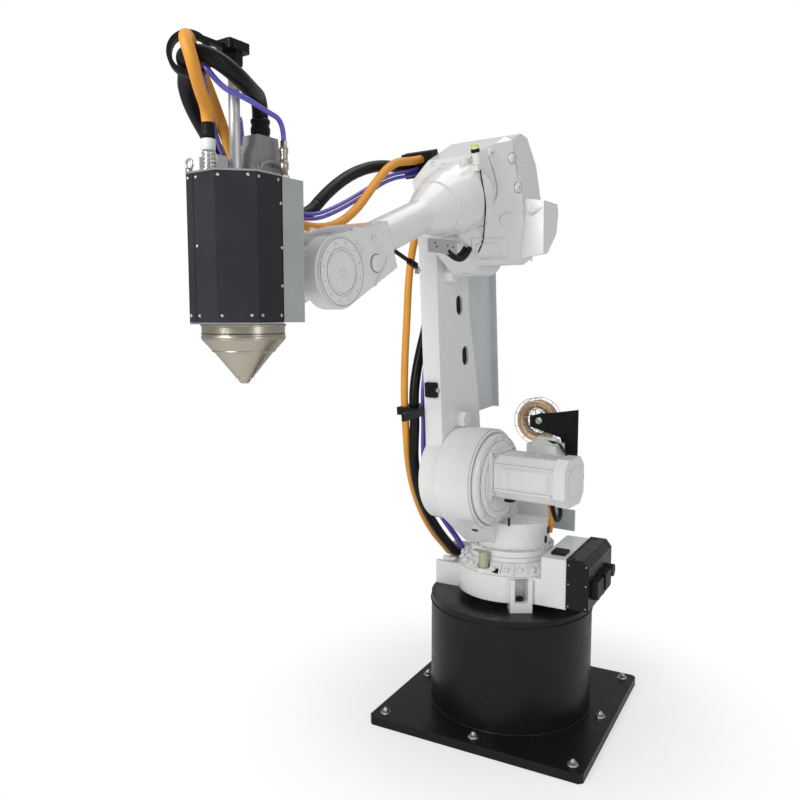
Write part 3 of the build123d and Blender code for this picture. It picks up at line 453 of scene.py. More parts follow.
class FinishCastings(bpy.types.Operator):
    """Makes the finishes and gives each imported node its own"""

    bl_idname = "robot_dress.finishes"
    bl_label = "Finishes"

    def execute(self, context):
        colours = context.scene.dress_finishes
        SHARED["cloudy"] = make_cloudy()
        SHARED["grain"] = make_grain()
        finish_of(
            "white_paint", tuple(colours.castings), (0.785, 0.79, 0.79), (0.24, 0.3), coat=0.55,
            grain=(260.0, 0.12), cloud=4.0, edge=0.004,
        )
        finish_of(
            "black_paint", tuple(colours.pedestal), (0.010, 0.010, 0.011), (0.26, 0.4), grain=(420.0, 0.25),
            cloud=9.0,
        )
        finish_of("black_plastic", (0.006, 0.006, 0.006), None, (0.38, 0.5), grain=(700.0, 0.3))
        finish_of(
            "grey_paint", tuple(colours.sheet), (0.38, 0.40, 0.41), (0.36, 0.46), grain=(600.0, 0.2),
            edge=0.0008,
        )
        finish_of(
            "guard_paint", (0.60, 0.645, 0.66), (0.56, 0.60, 0.62), (0.38, 0.5), grain=(600.0, 0.2),
            edge=0.0008,
        )
        finish_of(
            "charcoal", tuple(colours.shell), (0.040, 0.038, 0.045), (0.40, 0.52), metal=0.35,
            grain=(900.0, 0.25), edge=0.0008,
        )
        finish_of(
            "bare_alloy", (0.66, 0.66, 0.67), (0.58, 0.58, 0.6), (0.24, 0.36), metal=1.0, grain=(500.0, 0.15),
            edge=0.0005,
        )
        finish_of(
            "mast_alloy", (0.72, 0.72, 0.74), (0.66, 0.66, 0.68), (0.38, 0.48), metal=0.7, grain=(500.0, 0.15)
        )
        finish_of(
            "nickel", (0.52, 0.48, 0.40), (0.44, 0.40, 0.33), (0.24, 0.34), metal=1.0, grain=(600.0, 0.1),
            edge=0.0008,
        )
        lined("nickel", 160.0, 0.0002)
        finish_of("zinc", (0.56, 0.54, 0.42), (0.47, 0.47, 0.36), (0.3, 0.42), metal=0.9, grain=(300.0, 0.2))
        finish_of(
            "steel", (0.62, 0.61, 0.58), (0.5, 0.49, 0.47), (0.28, 0.4), metal=1.0, grain=(500.0, 0.15),
            edge=0.0004,
        )
        finish_of(
            "chrome", (0.78, 0.78, 0.78), (0.7, 0.7, 0.7), (0.1, 0.18), metal=1.0, grain=(500.0, 0.05),
            edge=0.0004,
        )
        finish_of(
            "copper_wire", (0.82, 0.58, 0.36), (0.7, 0.46, 0.26), (0.3, 0.42), metal=0.85, grain=(500.0, 0.1)
        )
        lined("copper_wire", 90.0, 0.0006, "X")
        finish_of("rubber", (0.005, 0.005, 0.005), None, (0.45, 0.6), grain=(800.0, 0.3))
        finish_of("black_hose", (0.004, 0.004, 0.005), None, (0.3, 0.4), grain=(500.0, 0.15))
        ribbed("black_hose", 0.006, 0.0002)
        finish_of(
            "orange_hose", tuple(colours.supply), tuple(v * 0.86 for v in colours.supply), (0.45, 0.6),
            grain=(700.0, 0.3),
        )
        ribbed("orange_hose", 0.003, 0.00015)
        finish_of(
            "blue_hose", tuple(colours.air), tuple(v * 0.8 for v in colours.air), (0.22, 0.32), coat=0.3,
            grain=(500.0, 0.05),
        )
        finish_of("lamp_white", (0.80, 0.81, 0.76), None, (0.3, 0.4), coat=0.2, grain=(500.0, 0.05))
        finish_of("lamp_lime", (0.55, 0.78, 0.06), (0.45, 0.7, 0.04), (0.2, 0.3), grain=(500.0, 0.05))
        finish_of(
            "seam_grey", (0.28, 0.28, 0.29), (0.22, 0.22, 0.23), (0.6, 0.7), grain=(600.0, 0.1), edge=0.0004
        )
        finish_of(
            "grey_connector", (0.26, 0.26, 0.265), (0.3, 0.3, 0.305), (0.4, 0.52), grain=(700.0, 0.3),
            edge=0.001,
        )
        own = {
            "arm_guard": "guard_paint", "rear_panel": "guard_paint", "tool_mast": "mast_alloy",
            "arm_buffer": "rubber",
        }
        for name, node in NODES.items():
            node.data.materials.clear()
            node.data.materials.append(FINISH[own.get(name, SLOT_OF[name])])
        return {"FINISHED"}


# ------------------------------------------------------------------ hoses

# Corner points of each hose's route, in millimetres in the row frame
POWER_ROUTE = [
    (-248.0, 69.7, 588.3), (-248.0, 16.0, 589.3), (-257.3, -15.9, 622.0), (-273.8, -92.5, 696.0),
    (-287.9, -183.5, 800.0), (-296.3, -251.0, 916.0), (-298.6, -280.9, 1030.0), (-298.2, -277.0, 1120.0),
    (-297.7, -272.5, 1175.0), (-298.7, -281.4, 1292.0), (-295.1, -249.1, 1415.0), (-286.8, -191.7, 1550.0),
    (-281.5, -162.1, 1690.0), (-276.2, -150.6, 1840.0), (-268.2, -151.5, 1970.0), (-255.2, -179.1, 2078.0),
    (-241.4, -273.2, 2151.0), (-259.2, -433.7, 2091.8), (-273.1, -578.5, 2080.4), (-286.8, -720.9, 2034.6),
    (-300.7, -846.5, 1958.8), (-312.5, -953.6, 1862.2), (-325.0, -1084.5, 1881.0), (-324.6, -1227.4, 1923.0),
    (
        -300.5, -1354.8, 1995.0,
    ), (-268.4, -1483.1, 2085.0), (-205.6, -1540.1, 2124.0), (-155.6, -1602.6, 2124.0),
    (-100.7, -1586.2, 2121.0), (-81.9, -1525.8, 2095.0), (-106.5, -1438.6, 2081.0), (-149.9, -1357.4, 2090.9),
    (-149.9, -1357.4, 2044.9),
]
SUPPLY_ROUTE = [
    (-285.0, 69.7, 584.3), (-285.0, 22.0, 585.3), (-290.2, -4.2, 618.0), (-308.3, -76.6, 686.0),
    (-322.7, -161.6, 792.0), (-330.9, -227.1, 910.0), (-333.9, -263.0, 1026.0), (-333.2, -275.1, 1120.0),
    (-333.1, -283.2, 1175.0), (-334.1, -292.1, 1292.0), (-331.8, -289.3, 1430.0), (-326.9, -281.8, 1580.0),
    (-320.7, -280.5, 1730.0), (-301.7, -272.5, 1870.0), (-260.2, -261.0, 1976.0), (-198.9, -243.6, 2072.0),
    (-191.3, -275.2, 2164.1), (-210.7, -450.6, 2107.8), (-224.5, -575.2, 2085.8), (-233.1, -680.8, 1998.5),
    (-239.4, -783.1, 1901.9), (-250.0, -897.7, 1838.9), (-262.7, -1031.0, 1827.0), (-265.3, -1181.7, 1863.0),
    (
        -245.9, -1334.7, 1941.0,
    ), (-228.0, -1427.2, 2069.0), (-196.2, -1532.6, 2159.0), (-146.2, -1595.1, 2159.0),
    (
        -122.1, -1634.1, 2148.0,
    ), (-103.9, -1634.1, 2101.0), (-128.9, -1587.1, 2057.0), (-167.7, -1519.4, 2029.9),
    (-167.7, -1519.4, 1991.9),
]
AIR_ROUTE = [
    (-219.0, 69.7, 584.3), (-219.0, 26.0, 586.3), (-219.9, 4.2, 620.0), (-225.8, -67.6, 690.0),
    (-243.9, -150.1, 780.0), (-260.6, -218.7, 882.0), (-266.0, -258.4, 986.0), (-267.3, -270.3, 1082.0),
    (-266.7, -265.3, 1175.0), (-267.7, -274.3, 1292.0), (-264.9, -248.4, 1415.0), (-259.2, -178.6, 1550.0),
    (-253.0, -141.1, 1690.0), (-249.3, -125.4, 1840.0), (-247.1, -123.6, 1960.0), (-232.1, -161.5, 2072.0),
    (-211.7, -259.0, 2127.6), (-230.2, -426.9, 2065.6), (-243.4, -563.9, 2033.6), (-255.1, -688.6, 1969.0),
    (-270.5, -827.7, 1900.8), (-282.4, -954.0, 1854.8), (-295.2, -1087.8, 1863.0), (-294.6, -1228.7, 1909.0),
    (
        -281.5, -1346.9, 1967.0,
    ), (-211.8, -1463.2, 2047.0), (-180.6, -1520.1, 2118.0), (-130.6, -1582.6, 2118.0),
    (-94.0, -1552.7, 2057.0), (-80.6, -1495.8, 2051.0), (-76.9, -1425.8, 2037.0), (-84.9, -1352.5, 2031.9),
    (-84.9, -1352.5, 1985.9),
]
WATER_ROUTE = [
    (-220.0, 69.7, 601.3), (-220.0, 30.0, 603.3), (-218.7, 14.5, 629.4), (-224.7, -57.7, 699.8),
    (-242.8, -139.3, 788.8), (-259.2, -206.5, 888.6), (-264.5, -244.9, 989.5), (-265.7, -256.4, 1082.5),
    (-265.2, -251.4, 1175.3), (-266.2, -260.4, 1291.0), (-263.4, -235.4, 1410.1), (-257.7, -165.7, 1544.9),
    (-251.5, -127.4, 1687.4), (-247.7, -111.5, 1839.1), (-245.5, -109.9, 1962.0), (-230.9, -150.5, 2080.6),
    (-211.7, -259.3, 2141.6), (-230.7, -431.0, 2079.0), (-243.9, -568.7, 2046.8), (-255.8, -694.8, 1981.5),
    (-271.1, -833.2, 1913.7), (-282.9, -958.8, 1867.9), (-294.9, -1085.8, 1878.0), (-291.8, -1202.9, 1927.0),
    (
        -271.8, -1277.5, 2007.0,
    ), (-252.8, -1305.8, 2051.0), (-230.0, -1336.5, 2063.0), (-214.6, -1360.3, 2037.9),
    (-214.6, -1360.3, 1986.4),
]

# (hose, its route, radius property, finish)
HOSES = [
    ("power", POWER_ROUTE, "power", "black_hose"),
    ("supply", SUPPLY_ROUTE, "supply", "orange_hose"),
    ("air", AIR_ROUTE, "air", "blue_hose"),
    ("water", WATER_ROUTE, "air", "blue_hose"),
]
# Part node, first and last run of the span, body it starts on and body it ends on
SPANS = [
    ("hoses_base", 0, 3, "base", "turret"),
    ("hoses_shoulder", 3, 8, "turret", "lower_arm"),
    ("hoses_arm", 8, 13, "lower_arm", "lower_arm"),
    ("hoses_elbow", 13, 16, "lower_arm", "elbow"),
    ("hoses_forearm", 16, 20, "elbow", "forearm"),
    ("hoses_wrist", 20, 23, "forearm", "wrist"),
    ("hoses_tool", 23, 26, "wrist", "tool"),
    ("hoses_top", 26, 31, "tool", "tool"),
]
HOSE_SIDES = 20


def span_points(route, first, last):
    """The points of a route between the middles of two of its runs, ends included."""
    points = [spot(*p) for p in route]
    start = points[0] if first == 0 else (points[first] + points[first + 1]) / 2
    end = points[-1] if last == len(points) - 2 else (points[last] + points[last + 1]) / 2
    return [start, *points[first + 1 : last + 1], end]


def follow(points, step):
    """Evenly spaced points on the smooth curve that a hose takes past its corner points."""
    data = bpy.data.curves.new("route", "CURVE")
    data.dimensions = "3D"
    spline = data.splines.new("NURBS")
    spline.points.add(len(points) - 1)
    for slot, p in zip(spline.points, points):
        slot.co = (*p, 1)
    spline.order_u = 3
    spline.use_endpoint_u = True
    spline.resolution_u = 24
    holder = new_object("route", data)
    mesh = bpy.data.meshes.new_from_object(holder.evaluated_get(bpy.context.evaluated_depsgraph_get()))
    fine = [v.co.copy() for v in mesh.vertices]
    bpy.data.objects.remove(holder)
    bpy.data.meshes.remove(mesh)
    gone = [0.0]
    for a, b in zip(fine, fine[1:]):
        gone.append(gone[-1] + (b - a).length)
    count = max(4, round(gone[-1] / step))
    line, row = [], 0
    for i in range(count + 1):
        want = gone[-1] * i / count
        while row < len(gone) - 2 and gone[row + 1] < want:
            row += 1
        share = (want - gone[row]) / max(gone[row + 1] - gone[row], 1e-9)
        line.append(fine[row].lerp(fine[row + 1], min(max(share, 0), 1)))
    return line, gone[-1]


def hose_mesh(name, line, radius, start_at, material):
    """A round hose along a line, with its length in metres as the first UV coordinate."""
    shape = Shape()
    shape.tube(line, radius / MM, HOSE_SIDES)
    piece = shape.build(name, material)
    gone = [start_at]
    for a, b in zip(line, line[1:]):
        gone.append(gone[-1] + (b - a).length)
    layer = piece.data.uv_layers.new(name="Run")
    for face in piece.data.polygons:
        around = [v % HOSE_SIDES for v in face.vertices]
        wraps = len(face.vertices) == 4 and max(around) - min(around) > 1
        for corner, v in zip(face.loop_indices, face.vertices):
            turn = v % HOSE_SIDES
            if wraps and turn == 0:
                turn = HOSE_SIDES
            layer.data[corner].uv = (gone[v // HOSE_SIDES], turn / HOSE_SIDES)
    return piece


class RunHoses(bpy.types.Operator):
    """Runs the four hoses over the arm, one piece of each between two joints"""

    bl_idname = "robot_dress.hoses"
    bl_label = "Hoses"

    def execute(self, context):
        sizes = context.scene.dress_sizes
        for hose, route, size, finish in HOSES:
            radius = getattr(sizes, size)
            gone = 0.0
            for node, first, last, start_body, end_body in SPANS:
                if first > len(route) - 2:
                    continue
                last = min(last, len(route) - 2)
                line, length = follow(span_points(route, first, last), sizes.step)
                piece = hose_mesh(f"{hose}_{node}", line, radius, gone, FINISH[finish])
                gone += length
                if start_body == end_body:
                    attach(piece, start_body)
                else:
                    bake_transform(piece)
                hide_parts(node)
        return {"FINISHED"}


# ------------------------------------------------------------------ fasteners

FASTENER_SEED = 7
# Outline of each kind of fastener for a radius of 1, as (radius, height) from the foot up
CAP_SCREW = [(1, 0), (1, 0.72), (0.86, 0.86), (0.5, 0.86), (0.5, 0.4), (0, 0.4)]
BUTTON_SCREW = [(1, 0), (0.97, 0.2), (0.78, 0.42), (0.5, 0.52), (0.42, 0.5), (0.42, 0.26), (0, 0.26)]
WASHER = [(1.5, 0), (1.5, 0.22), (0, 0.22)]
HEX_HEAD = [(1.08, 0.22), (1.08, 0.86), (0.95, 0.96), (0, 0.96)]
NUT_DOME = [(0.72, 0.9), (0.7, 1.15), (0.5, 1.5), (0, 1.62)]


def head_shape(kind):
    """One fastener of radius 1 mm, its foot at the origin and its head along z."""
    shape = Shape()
    # The shade disc is a dark disc at the floor of a cap screw's socket: painted shade in the recess, not a
    # part
    if kind == "disc":
        shape.turned([(0.5, 0.41), (0.5, 0.44), (0, 0.44)], None, 16)
    elif kind == "cap":
        shape.turned(CAP_SCREW, None, 24)
    elif kind == "button":
        shape.turned(BUTTON_SCREW, None, 18)
    else:
        shape.turned(WASHER, None, 28)
        shape.turned(HEX_HEAD, None, 6, smooth=False)
        if kind == "nut":
            shape.turned(NUT_DOME, None, 20)
    return shape


def make_fasteners():
    """Geometry nodes that stand a fastener on every point, along its aim and at its size."""
    tree = bpy.data.node_groups.new("Fasteners", "GeometryNodeTree")
    for label, kind in (
        ("Geometry", "Geometry"), ("Fastener", "Object"), ("Seed", "Int"), ("Finish", "Material"),
    ):
        tree.interface.new_socket(label, in_out="INPUT", socket_type="NodeSocket" + kind)
    tree.interface.new_socket("Geometry", in_out="OUTPUT", socket_type="NodeSocketGeometry")
    start, end = new_node(tree, "NodeGroupInput"), new_node(tree, "NodeGroupOutput")
    source = new_node(tree, "GeometryNodeObjectInfo")
    aim = new_node(tree, "GeometryNodeInputNamedAttribute", data_type="FLOAT_VECTOR", Name="aim")
    size = new_node(tree, "GeometryNodeInputNamedAttribute", data_type="FLOAT", Name="size")
    turn = new_node(tree, "FunctionNodeAlignRotationToVector", axis="Z")
    place = new_node(tree, "GeometryNodeInstanceOnPoints")
    chance = new_node(tree, "FunctionNodeRandomValue", data_type="FLOAT", Max=tau)
    spin = new_node(tree, "ShaderNodeCombineXYZ")
    rotate = new_node(tree, "GeometryNodeRotateInstances")
    real = new_node(tree, "GeometryNodeRealizeInstances")
    paint = new_node(tree, "GeometryNodeSetMaterial")
    wire(
        tree,
        (start, "Fastener", source, "Object"),
        (start, "Geometry", place, "Points"),
        (source, "Geometry", place, "Instance"),
        (aim, "Attribute", turn, "Vector"),
        (turn, "Rotation", place, "Rotation"),
        (size, "Attribute", place, "Scale"),
        (place, "Instances", rotate, "Instances"),
        (start, "Seed", chance, "Seed"),
        (spin, "Vector", rotate, "Rotation"),
        (rotate, "Instances", real, "Geometry"),
        (real, "Geometry", paint, "Geometry"),
        (start, "Finish", paint, "Material"),
        (paint, "Geometry", end, "Geometry"),
    )
    tree.links.new(next(o for o in chance.outputs if o.enabled), spin.inputs["Z"])
    return tree


def ring_of(centre, axis, radius, count, first=0.0):
    """Points on a circle round an axis, radius in mm, the first at an angle in degrees."""
    at = facing(centre, axis)
    turns = [radians(first) + tau * i / count for i in range(count)]
    return [at @ (level_way(a) * radius * MM) for a in turns]


def on_tool(places, aim):
    """Points on the tool with one aim."""
    return [(tool(*p), aim) for p in places]


FRONT_FALL = 104 / 293
REAR_FALL = 62 / 293
CREST_SIDE = 128.0
COVER_SIDE = 118
COVER_AT = (960, 175)
CREST_ALONG = -60.0
FRONT_FLAT = (NEAR + ALONG * FRONT_FALL).normalized()
REAR_FLAT = (NEAR - ALONG * REAR_FALL).normalized()


def flat(along, height, proud=0.0):
    """A point on one of the two flats of the housing's near side, with how far it stands proud."""
    if along > CREST_ALONG:
        side, normal = CREST_SIDE - (along - CREST_ALONG) * FRONT_FALL, FRONT_FLAT
    else:
        side, normal = CREST_SIDE - (CREST_ALONG - along) * REAR_FALL, REAR_FLAT
    return fore(side, along, height) + normal * proud * MM


MOTOR_AT = arm(0, 175, 521)
MOTOR_HALF = 79
MOTOR_FACE = 48.6
MOTOR_END = 284.6
CAP_END = 330.6


def on_motor(way, reach, shift, proud=0.0):
    """A point on one face of the shoulder motor: its way out, its reach from the flange and its shift."""
    out = way * (MOTOR_HALF + proud) + NEAR.cross(way) * shift
    return MOTOR_AT + (NEAR * (MOTOR_FACE + reach) + out) * MM


TOOL_FRONT = 352.6
TOOL_SIDE = 111
TOOL_FACET = (NEAR + AHEAD).normalized()
FOOT_SPOTS = [(180, 282), (-60, 198), (60, 198)]


def fastener_rows():
    """Each row as (name, body, kind, finish, slot, radius in mm, points with their aims)."""
    anchors = [(spot(x, y, 35), UP) for x in (-372, 0, 372) for y in (-372, 0, 372) if x or y]
    feet = [(spot(r * cos(radians(a)), r * sin(radians(a)), 508), UP) for a, r in FOOT_SPOTS]
    flange = [(p, UP) for p in ring_of(arm(0, 0, 215), UP, 158, 26)]
    shoulder = [(p, NEAR) for p in ring_of(arm(30.3, *SHOULDER), NEAR, 156, 14, 12)]
    boss = [(p, NEAR) for p in ring_of(arm(4, *SHOULDER), NEAR, 182.5, 12, 5) if p.z > arm(0, 0, 395).z]
    motor = [(arm(MOTOR_FACE, 175 + i * 80, 521 + j * 80), NEAR) for i in (-1, 1) for j in (-1, 1)]
    cap = [(arm(MOTOR_END + 46, 175 + i * 52, 521 + j * 52), NEAR) for i in (-1, 1) for j in (-1, 1)]
    rods = [(arm(MOTOR_END - 22, 175 + MOTOR_HALF, 521 + j * 47), AHEAD) for j in (-1, 1)]
    rods += [(arm(MOTOR_FACE + 22, 175 + MOTOR_HALF, 521 + j * 47), AHEAD) for j in (-1, 1)]
    box = [(spot(x, -168, z), Vector((0, -1, 0))) for x in (283, 348) for z in (516, 600, 672)]
    housing = [
        (flat(a, b, 4), FRONT_FLAT)
        for a, b in ((-47, 253), (-55, 152), (118, 83), (78, 137), (40, 292), (160, 96))
    ]
    front_top = (OVER * 0.77 + ALONG * 0.64 - NEAR * 0.07).normalized()
    front_spots = [(fore(*p), front_top) for p in ((-80, 132, 297), (-29, 154, 289), (-92, 158, 282))]
    slope = (OVER * 120 + ALONG * 42).normalized()
    top = [
        (fore(s, a, 304 - (a - 112) * 0.35), slope)
        for s, a in ((-20, 172), (-20, 204), (40, 150), (-70, 150))
    ]
    turns = [tau * i / 12 for i in range(12)]
    cover = [(fore(COVER_SIDE, COVER_AT[0] + 74 * cos(a), COVER_AT[1] + 74 * sin(a)), NEAR) for a in turns]
    far_cover = [(p - NEAR * (2 * COVER_SIDE + 0.2) * MM, -NEAR) for p, _ in cover]
    yoke = [(fore(108, 804, 149), NEAR), (fore(108, 790, 215), NEAR)]
    front = ((-13, 196), (-14, 45), (-11, -111), (-40, 196), (-40, -111))
    shell = on_tool([(side, TOOL_FRONT, up) for side, up in front], AHEAD)
    shell += on_tool([(52, 346.6, 196), (98, 300.6, 198), (54, 344.6, -111), (100, 298.6, -110)], TOOL_FACET)
    both = [(281, 196), (220, 197), (276, -110), (216, -110)]
    near_row = both + [(213, 145), (211, 45), (212, -42)]
    shell += on_tool([(TOOL_SIDE, f, u) for f, u in near_row], NEAR)
    shell += on_tool([(-TOOL_SIDE, f, u) for f, u in both + [(213, 45)]], -NEAR)
    case_row = [(198, 84), (150, 86), (198, 56), (150, 58), (146, 17), (146, -54)]
    case = on_tool([(TOOL_SIDE, f, u) for f, u in case_row], NEAR)
    case += on_tool([(TOOL_SIDE, f, u) for f in (144, 198) for u in (192, -116)], NEAR)
    case += on_tool([(-TOOL_SIDE, f, u) for f in (144, 198) for u in (192, 38, -116)], -NEAR)
    return [
        ("anchor_nuts", "base", "nut", "steel", "zinc", 13.5, anchors),
        ("foot_bolts", "base", "cap", "black_plastic", "black_plastic", 15, feet),
        ("turret_flange_bolts", "turret", "cap", "white_paint", "white_paint", 5.5, flange),
        ("shoulder_ring_bolts", "turret", "cap", "white_paint", "white_paint", 6, shoulder),
        ("shoulder_boss_bolts", "turret", "cap", "white_paint", "white_paint", 4, boss),
        ("motor_bolts", "turret", "cap", "steel", "bare_alloy", 7.5, motor),
        ("motor_cap_bolts", "turret", "button", "white_paint", "white_paint", 5, cap),
        ("motor_rail_bolts", "turret", "button", "steel", "bare_alloy", 5, rods),
        ("connector_box_screws", "base", "button", "steel", "bare_alloy", 3, box),
        ("housing_bolts", "elbow", "cap", "white_paint", "white_paint", 7, housing),
        ("housing_top_bolts", "elbow", "cap", "white_paint", "white_paint", 6, top),
        ("wrist_cover_screws", "forearm", "button", "white_paint", "white_paint", 3, cover + far_cover),
        ("housing_top_front_bolts", "elbow", "cap", "white_paint", "white_paint", 7, front_spots),
        # These two rows put dark discs into the sockets of cap screws: painted shade in the recesses
        ("housing_sockets", "elbow", "disc", "rubber", "rubber", 7, housing + front_spots[:2]),
        ("motor_sockets", "turret", "disc", "rubber", "rubber", 7.5, motor),
        ("yoke_bolts", "forearm", "cap", "white_paint", "white_paint", 8, yoke),
        ("shell_screws", "tool", "button", "steel", "bare_alloy", 4, shell),
        ("tool_box_screws", "tool", "button", "steel", "bare_alloy", 2.6, case),
    ]


class SetFasteners(bpy.types.Operator):
    """Sets the anchor nuts, bolts and screws of every body, and dark discs of painted shade in the sockets of
    some cap screws
    """

    bl_idname = "robot_dress.fasteners"
    bl_label = "Fasteners"

    def execute(self, context):
        tree = make_fasteners()
        inputs = {s.name: s.identifier for s in tree.interface.items_tree if s.in_out == "INPUT"}
        heads = {
            kind: head_shape(kind).build(kind, FINISH["steel"])
            for kind in ("cap", "button", "nut", "disc")
        }
        for name, body, kind, finish, slot, radius, rows in fastener_rows():
            mesh = bpy.data.meshes.new(name)
            mesh.from_pydata([tuple(p) for p, _ in rows], [], [])
            mesh.attributes.new("aim", "FLOAT_VECTOR", "POINT")
            mesh.attributes.new("size", "FLOAT", "POINT")
            for i, (_, aim) in enumerate(rows):
                mesh.attributes["aim"].data[i].vector = aim
                mesh.attributes["size"].data[i].value = radius
            piece = new_object(name, mesh)
            step = piece.modifiers.new("Fasteners", "NODES")
            step.node_group = tree
            step[inputs["Fastener"]] = heads[kind]
            step[inputs["Seed"]] = FASTENER_SEED
            step[inputs["Finish"]] = FINISH[finish]
            shown = piece.evaluated_get(bpy.context.evaluated_depsgraph_get())
            made = bpy.data.meshes.new_from_object(shown)
            piece.modifiers.remove(step)
            piece.data = made
            dress(piece, body)
        for head in heads.values():
            bpy.data.objects.remove(head)
        return {"FINISHED"}


# ------------------------------------------------------------------ pedestal and base


GUSSETS = 24
STOP_TURN = 257
ACROSS = Vector((1, 0, 0))


class DressBase(bpy.types.Operator):
    """Adds the welds of the drum, and the small parts of the base and its connector box"""

    bl_idname = "robot_dress.base"
    bl_label = "Pedestal and base"

    def execute(self, context):
        for name, radius, height, thick in (("rim_weld", 320.5, 444, 3.6), ("foot_weld", 321, 36.5, 4.5)):
            shape = Shape()
            shape.hoop(radius, thick, Matrix.Translation(spot(0, 0, height)), 180, 8)
            for i, p in enumerate(shape.points):
                wave = 1 + 0.0016 * sin((i // 8) * 2.4) + 0.0008 * sin((i // 8) * 0.7)
                shape.points[i] = Vector((p.x * wave, p.y * wave, p.z + 0.0006 * sin((i // 8) * 1.3)))
            shape.fit(name, "black_paint", "base")
        gussets = Shape()
        for i in range(GUSSETS):
            way = level_way(tau * (i + 0.5) / GUSSETS)
            if abs((degrees(atan2(way.y, way.x)) - STOP_TURN) % 360) < 12:
                continue
            if way.x > 0.80 and abs(way.y) < 0.62:
                continue
            foot = spot(0, 0, 620) + way * 0.188
            gussets.block(
                (44, 7, 9), facing(foot, (UP * 0.74 + way * 0.67).normalized(), way * 0.74 - UP * 0.67)
            )
            at = facing(spot(0, 0, 622) + level_way(tau * i / GUSSETS) * 0.196, UP)
            gussets.turned([(9, -6), (9, 6), (0, 6)], at, 18)
            gussets.turned([(6, 6), (6, 12), (3, 12), (3, 9), (0, 9)], at, 16)
        gussets.fit("base_gussets", "white_paint", "base")
        Shape().prism(
            oval(34, 20), 3, facing(arm(35, 194, 145), (AHEAD * 0.67 + UP * 0.74).normalized(), NEAR)
        ).fit("base_plug", "rubber", "base", "black_plastic")
        flag = Shape()
        post = level_way(radians(STOP_TURN)) * 192 * MM
        flag.block((60, 26, 3), facing(post + spot(-12, 0, 680.6), UP, NEAR))
        flag.turned([(22, 0), (22, 3), (0, 3)], facing(post + spot(0, 0, 620.5), UP))
        flag.turned([(7, 0), (7, 1), (0, 1)], facing(post + spot(0, 0, 683.6), UP), 6, False)
        flag.fit("stop_flag", "zinc", "base")
        case = Shape()
        case.block((63, 335, 2), facing(spot(306, 0, 692), UP, ACROSS))
        for y in (-120, -40, 40, 120):
            case.block((6, 60, 3), facing(spot(280, y, 694), UP, ACROSS))
        for y in (-150, 150):
            case.turned([(6, 0), (5.5, 3), (0, 3.5)], facing(spot(296, y, 694), UP), 16)
        case.fit("connector_box_lid", "black_paint", "base")
        plugs = Shape()
        for y, z, size in ((-100, 590, 36), (-30, 590, 36), (40, 592, 30)):
            plugs.block((size + 12, size + 16, 10), facing(spot(358.6, y, z), ACROSS, UP))
        for y, z in ((-100, 548), (-30, 548)):
            plugs.turned(
                [(15, 0), (15, 10), (12, 14), (12, 22), (0, 22)], facing(spot(358.6, y, z), ACROSS), 20
            )
        plugs.fit("box_connectors", "black_plastic", "base")
        return {"FINISHED"}


# ------------------------------------------------------------------ shoulder and motors


def oval(long, wide, steps=10):
    """A flat outline with round ends, long along x, in mm."""
    straight = (long - wide) / 2
    points = []
    for centre, first in ((straight, -pi / 2), (-straight, pi / 2)):
        for i in range(steps + 1):
            a = first + pi * i / steps
            points.append((centre + wide / 2 * cos(a), wide / 2 * sin(a)))
    return points


# (name, finish, radius, corner points by side, forward and up)
MOTOR_CABLES = [
    (
        "motor_cable",
        "black_plastic",
        9,
        [
            (178, 60, 440), (182, 30, 420), (176, 7, 368), (170, -36, 318),
            (164, -76, 300), (156, -120, 318), (140, -140, 362), (112, -128, 404),
        ],
    ),
    (
        "motor_feed",
        "orange_hose",
        8,
        [
            (158, 96, 448), (164, 62, 432), (166, 20, 398),
            (163, -12, 350), (158, -30, 300), (146, -44, 262),
        ],
    ),
]


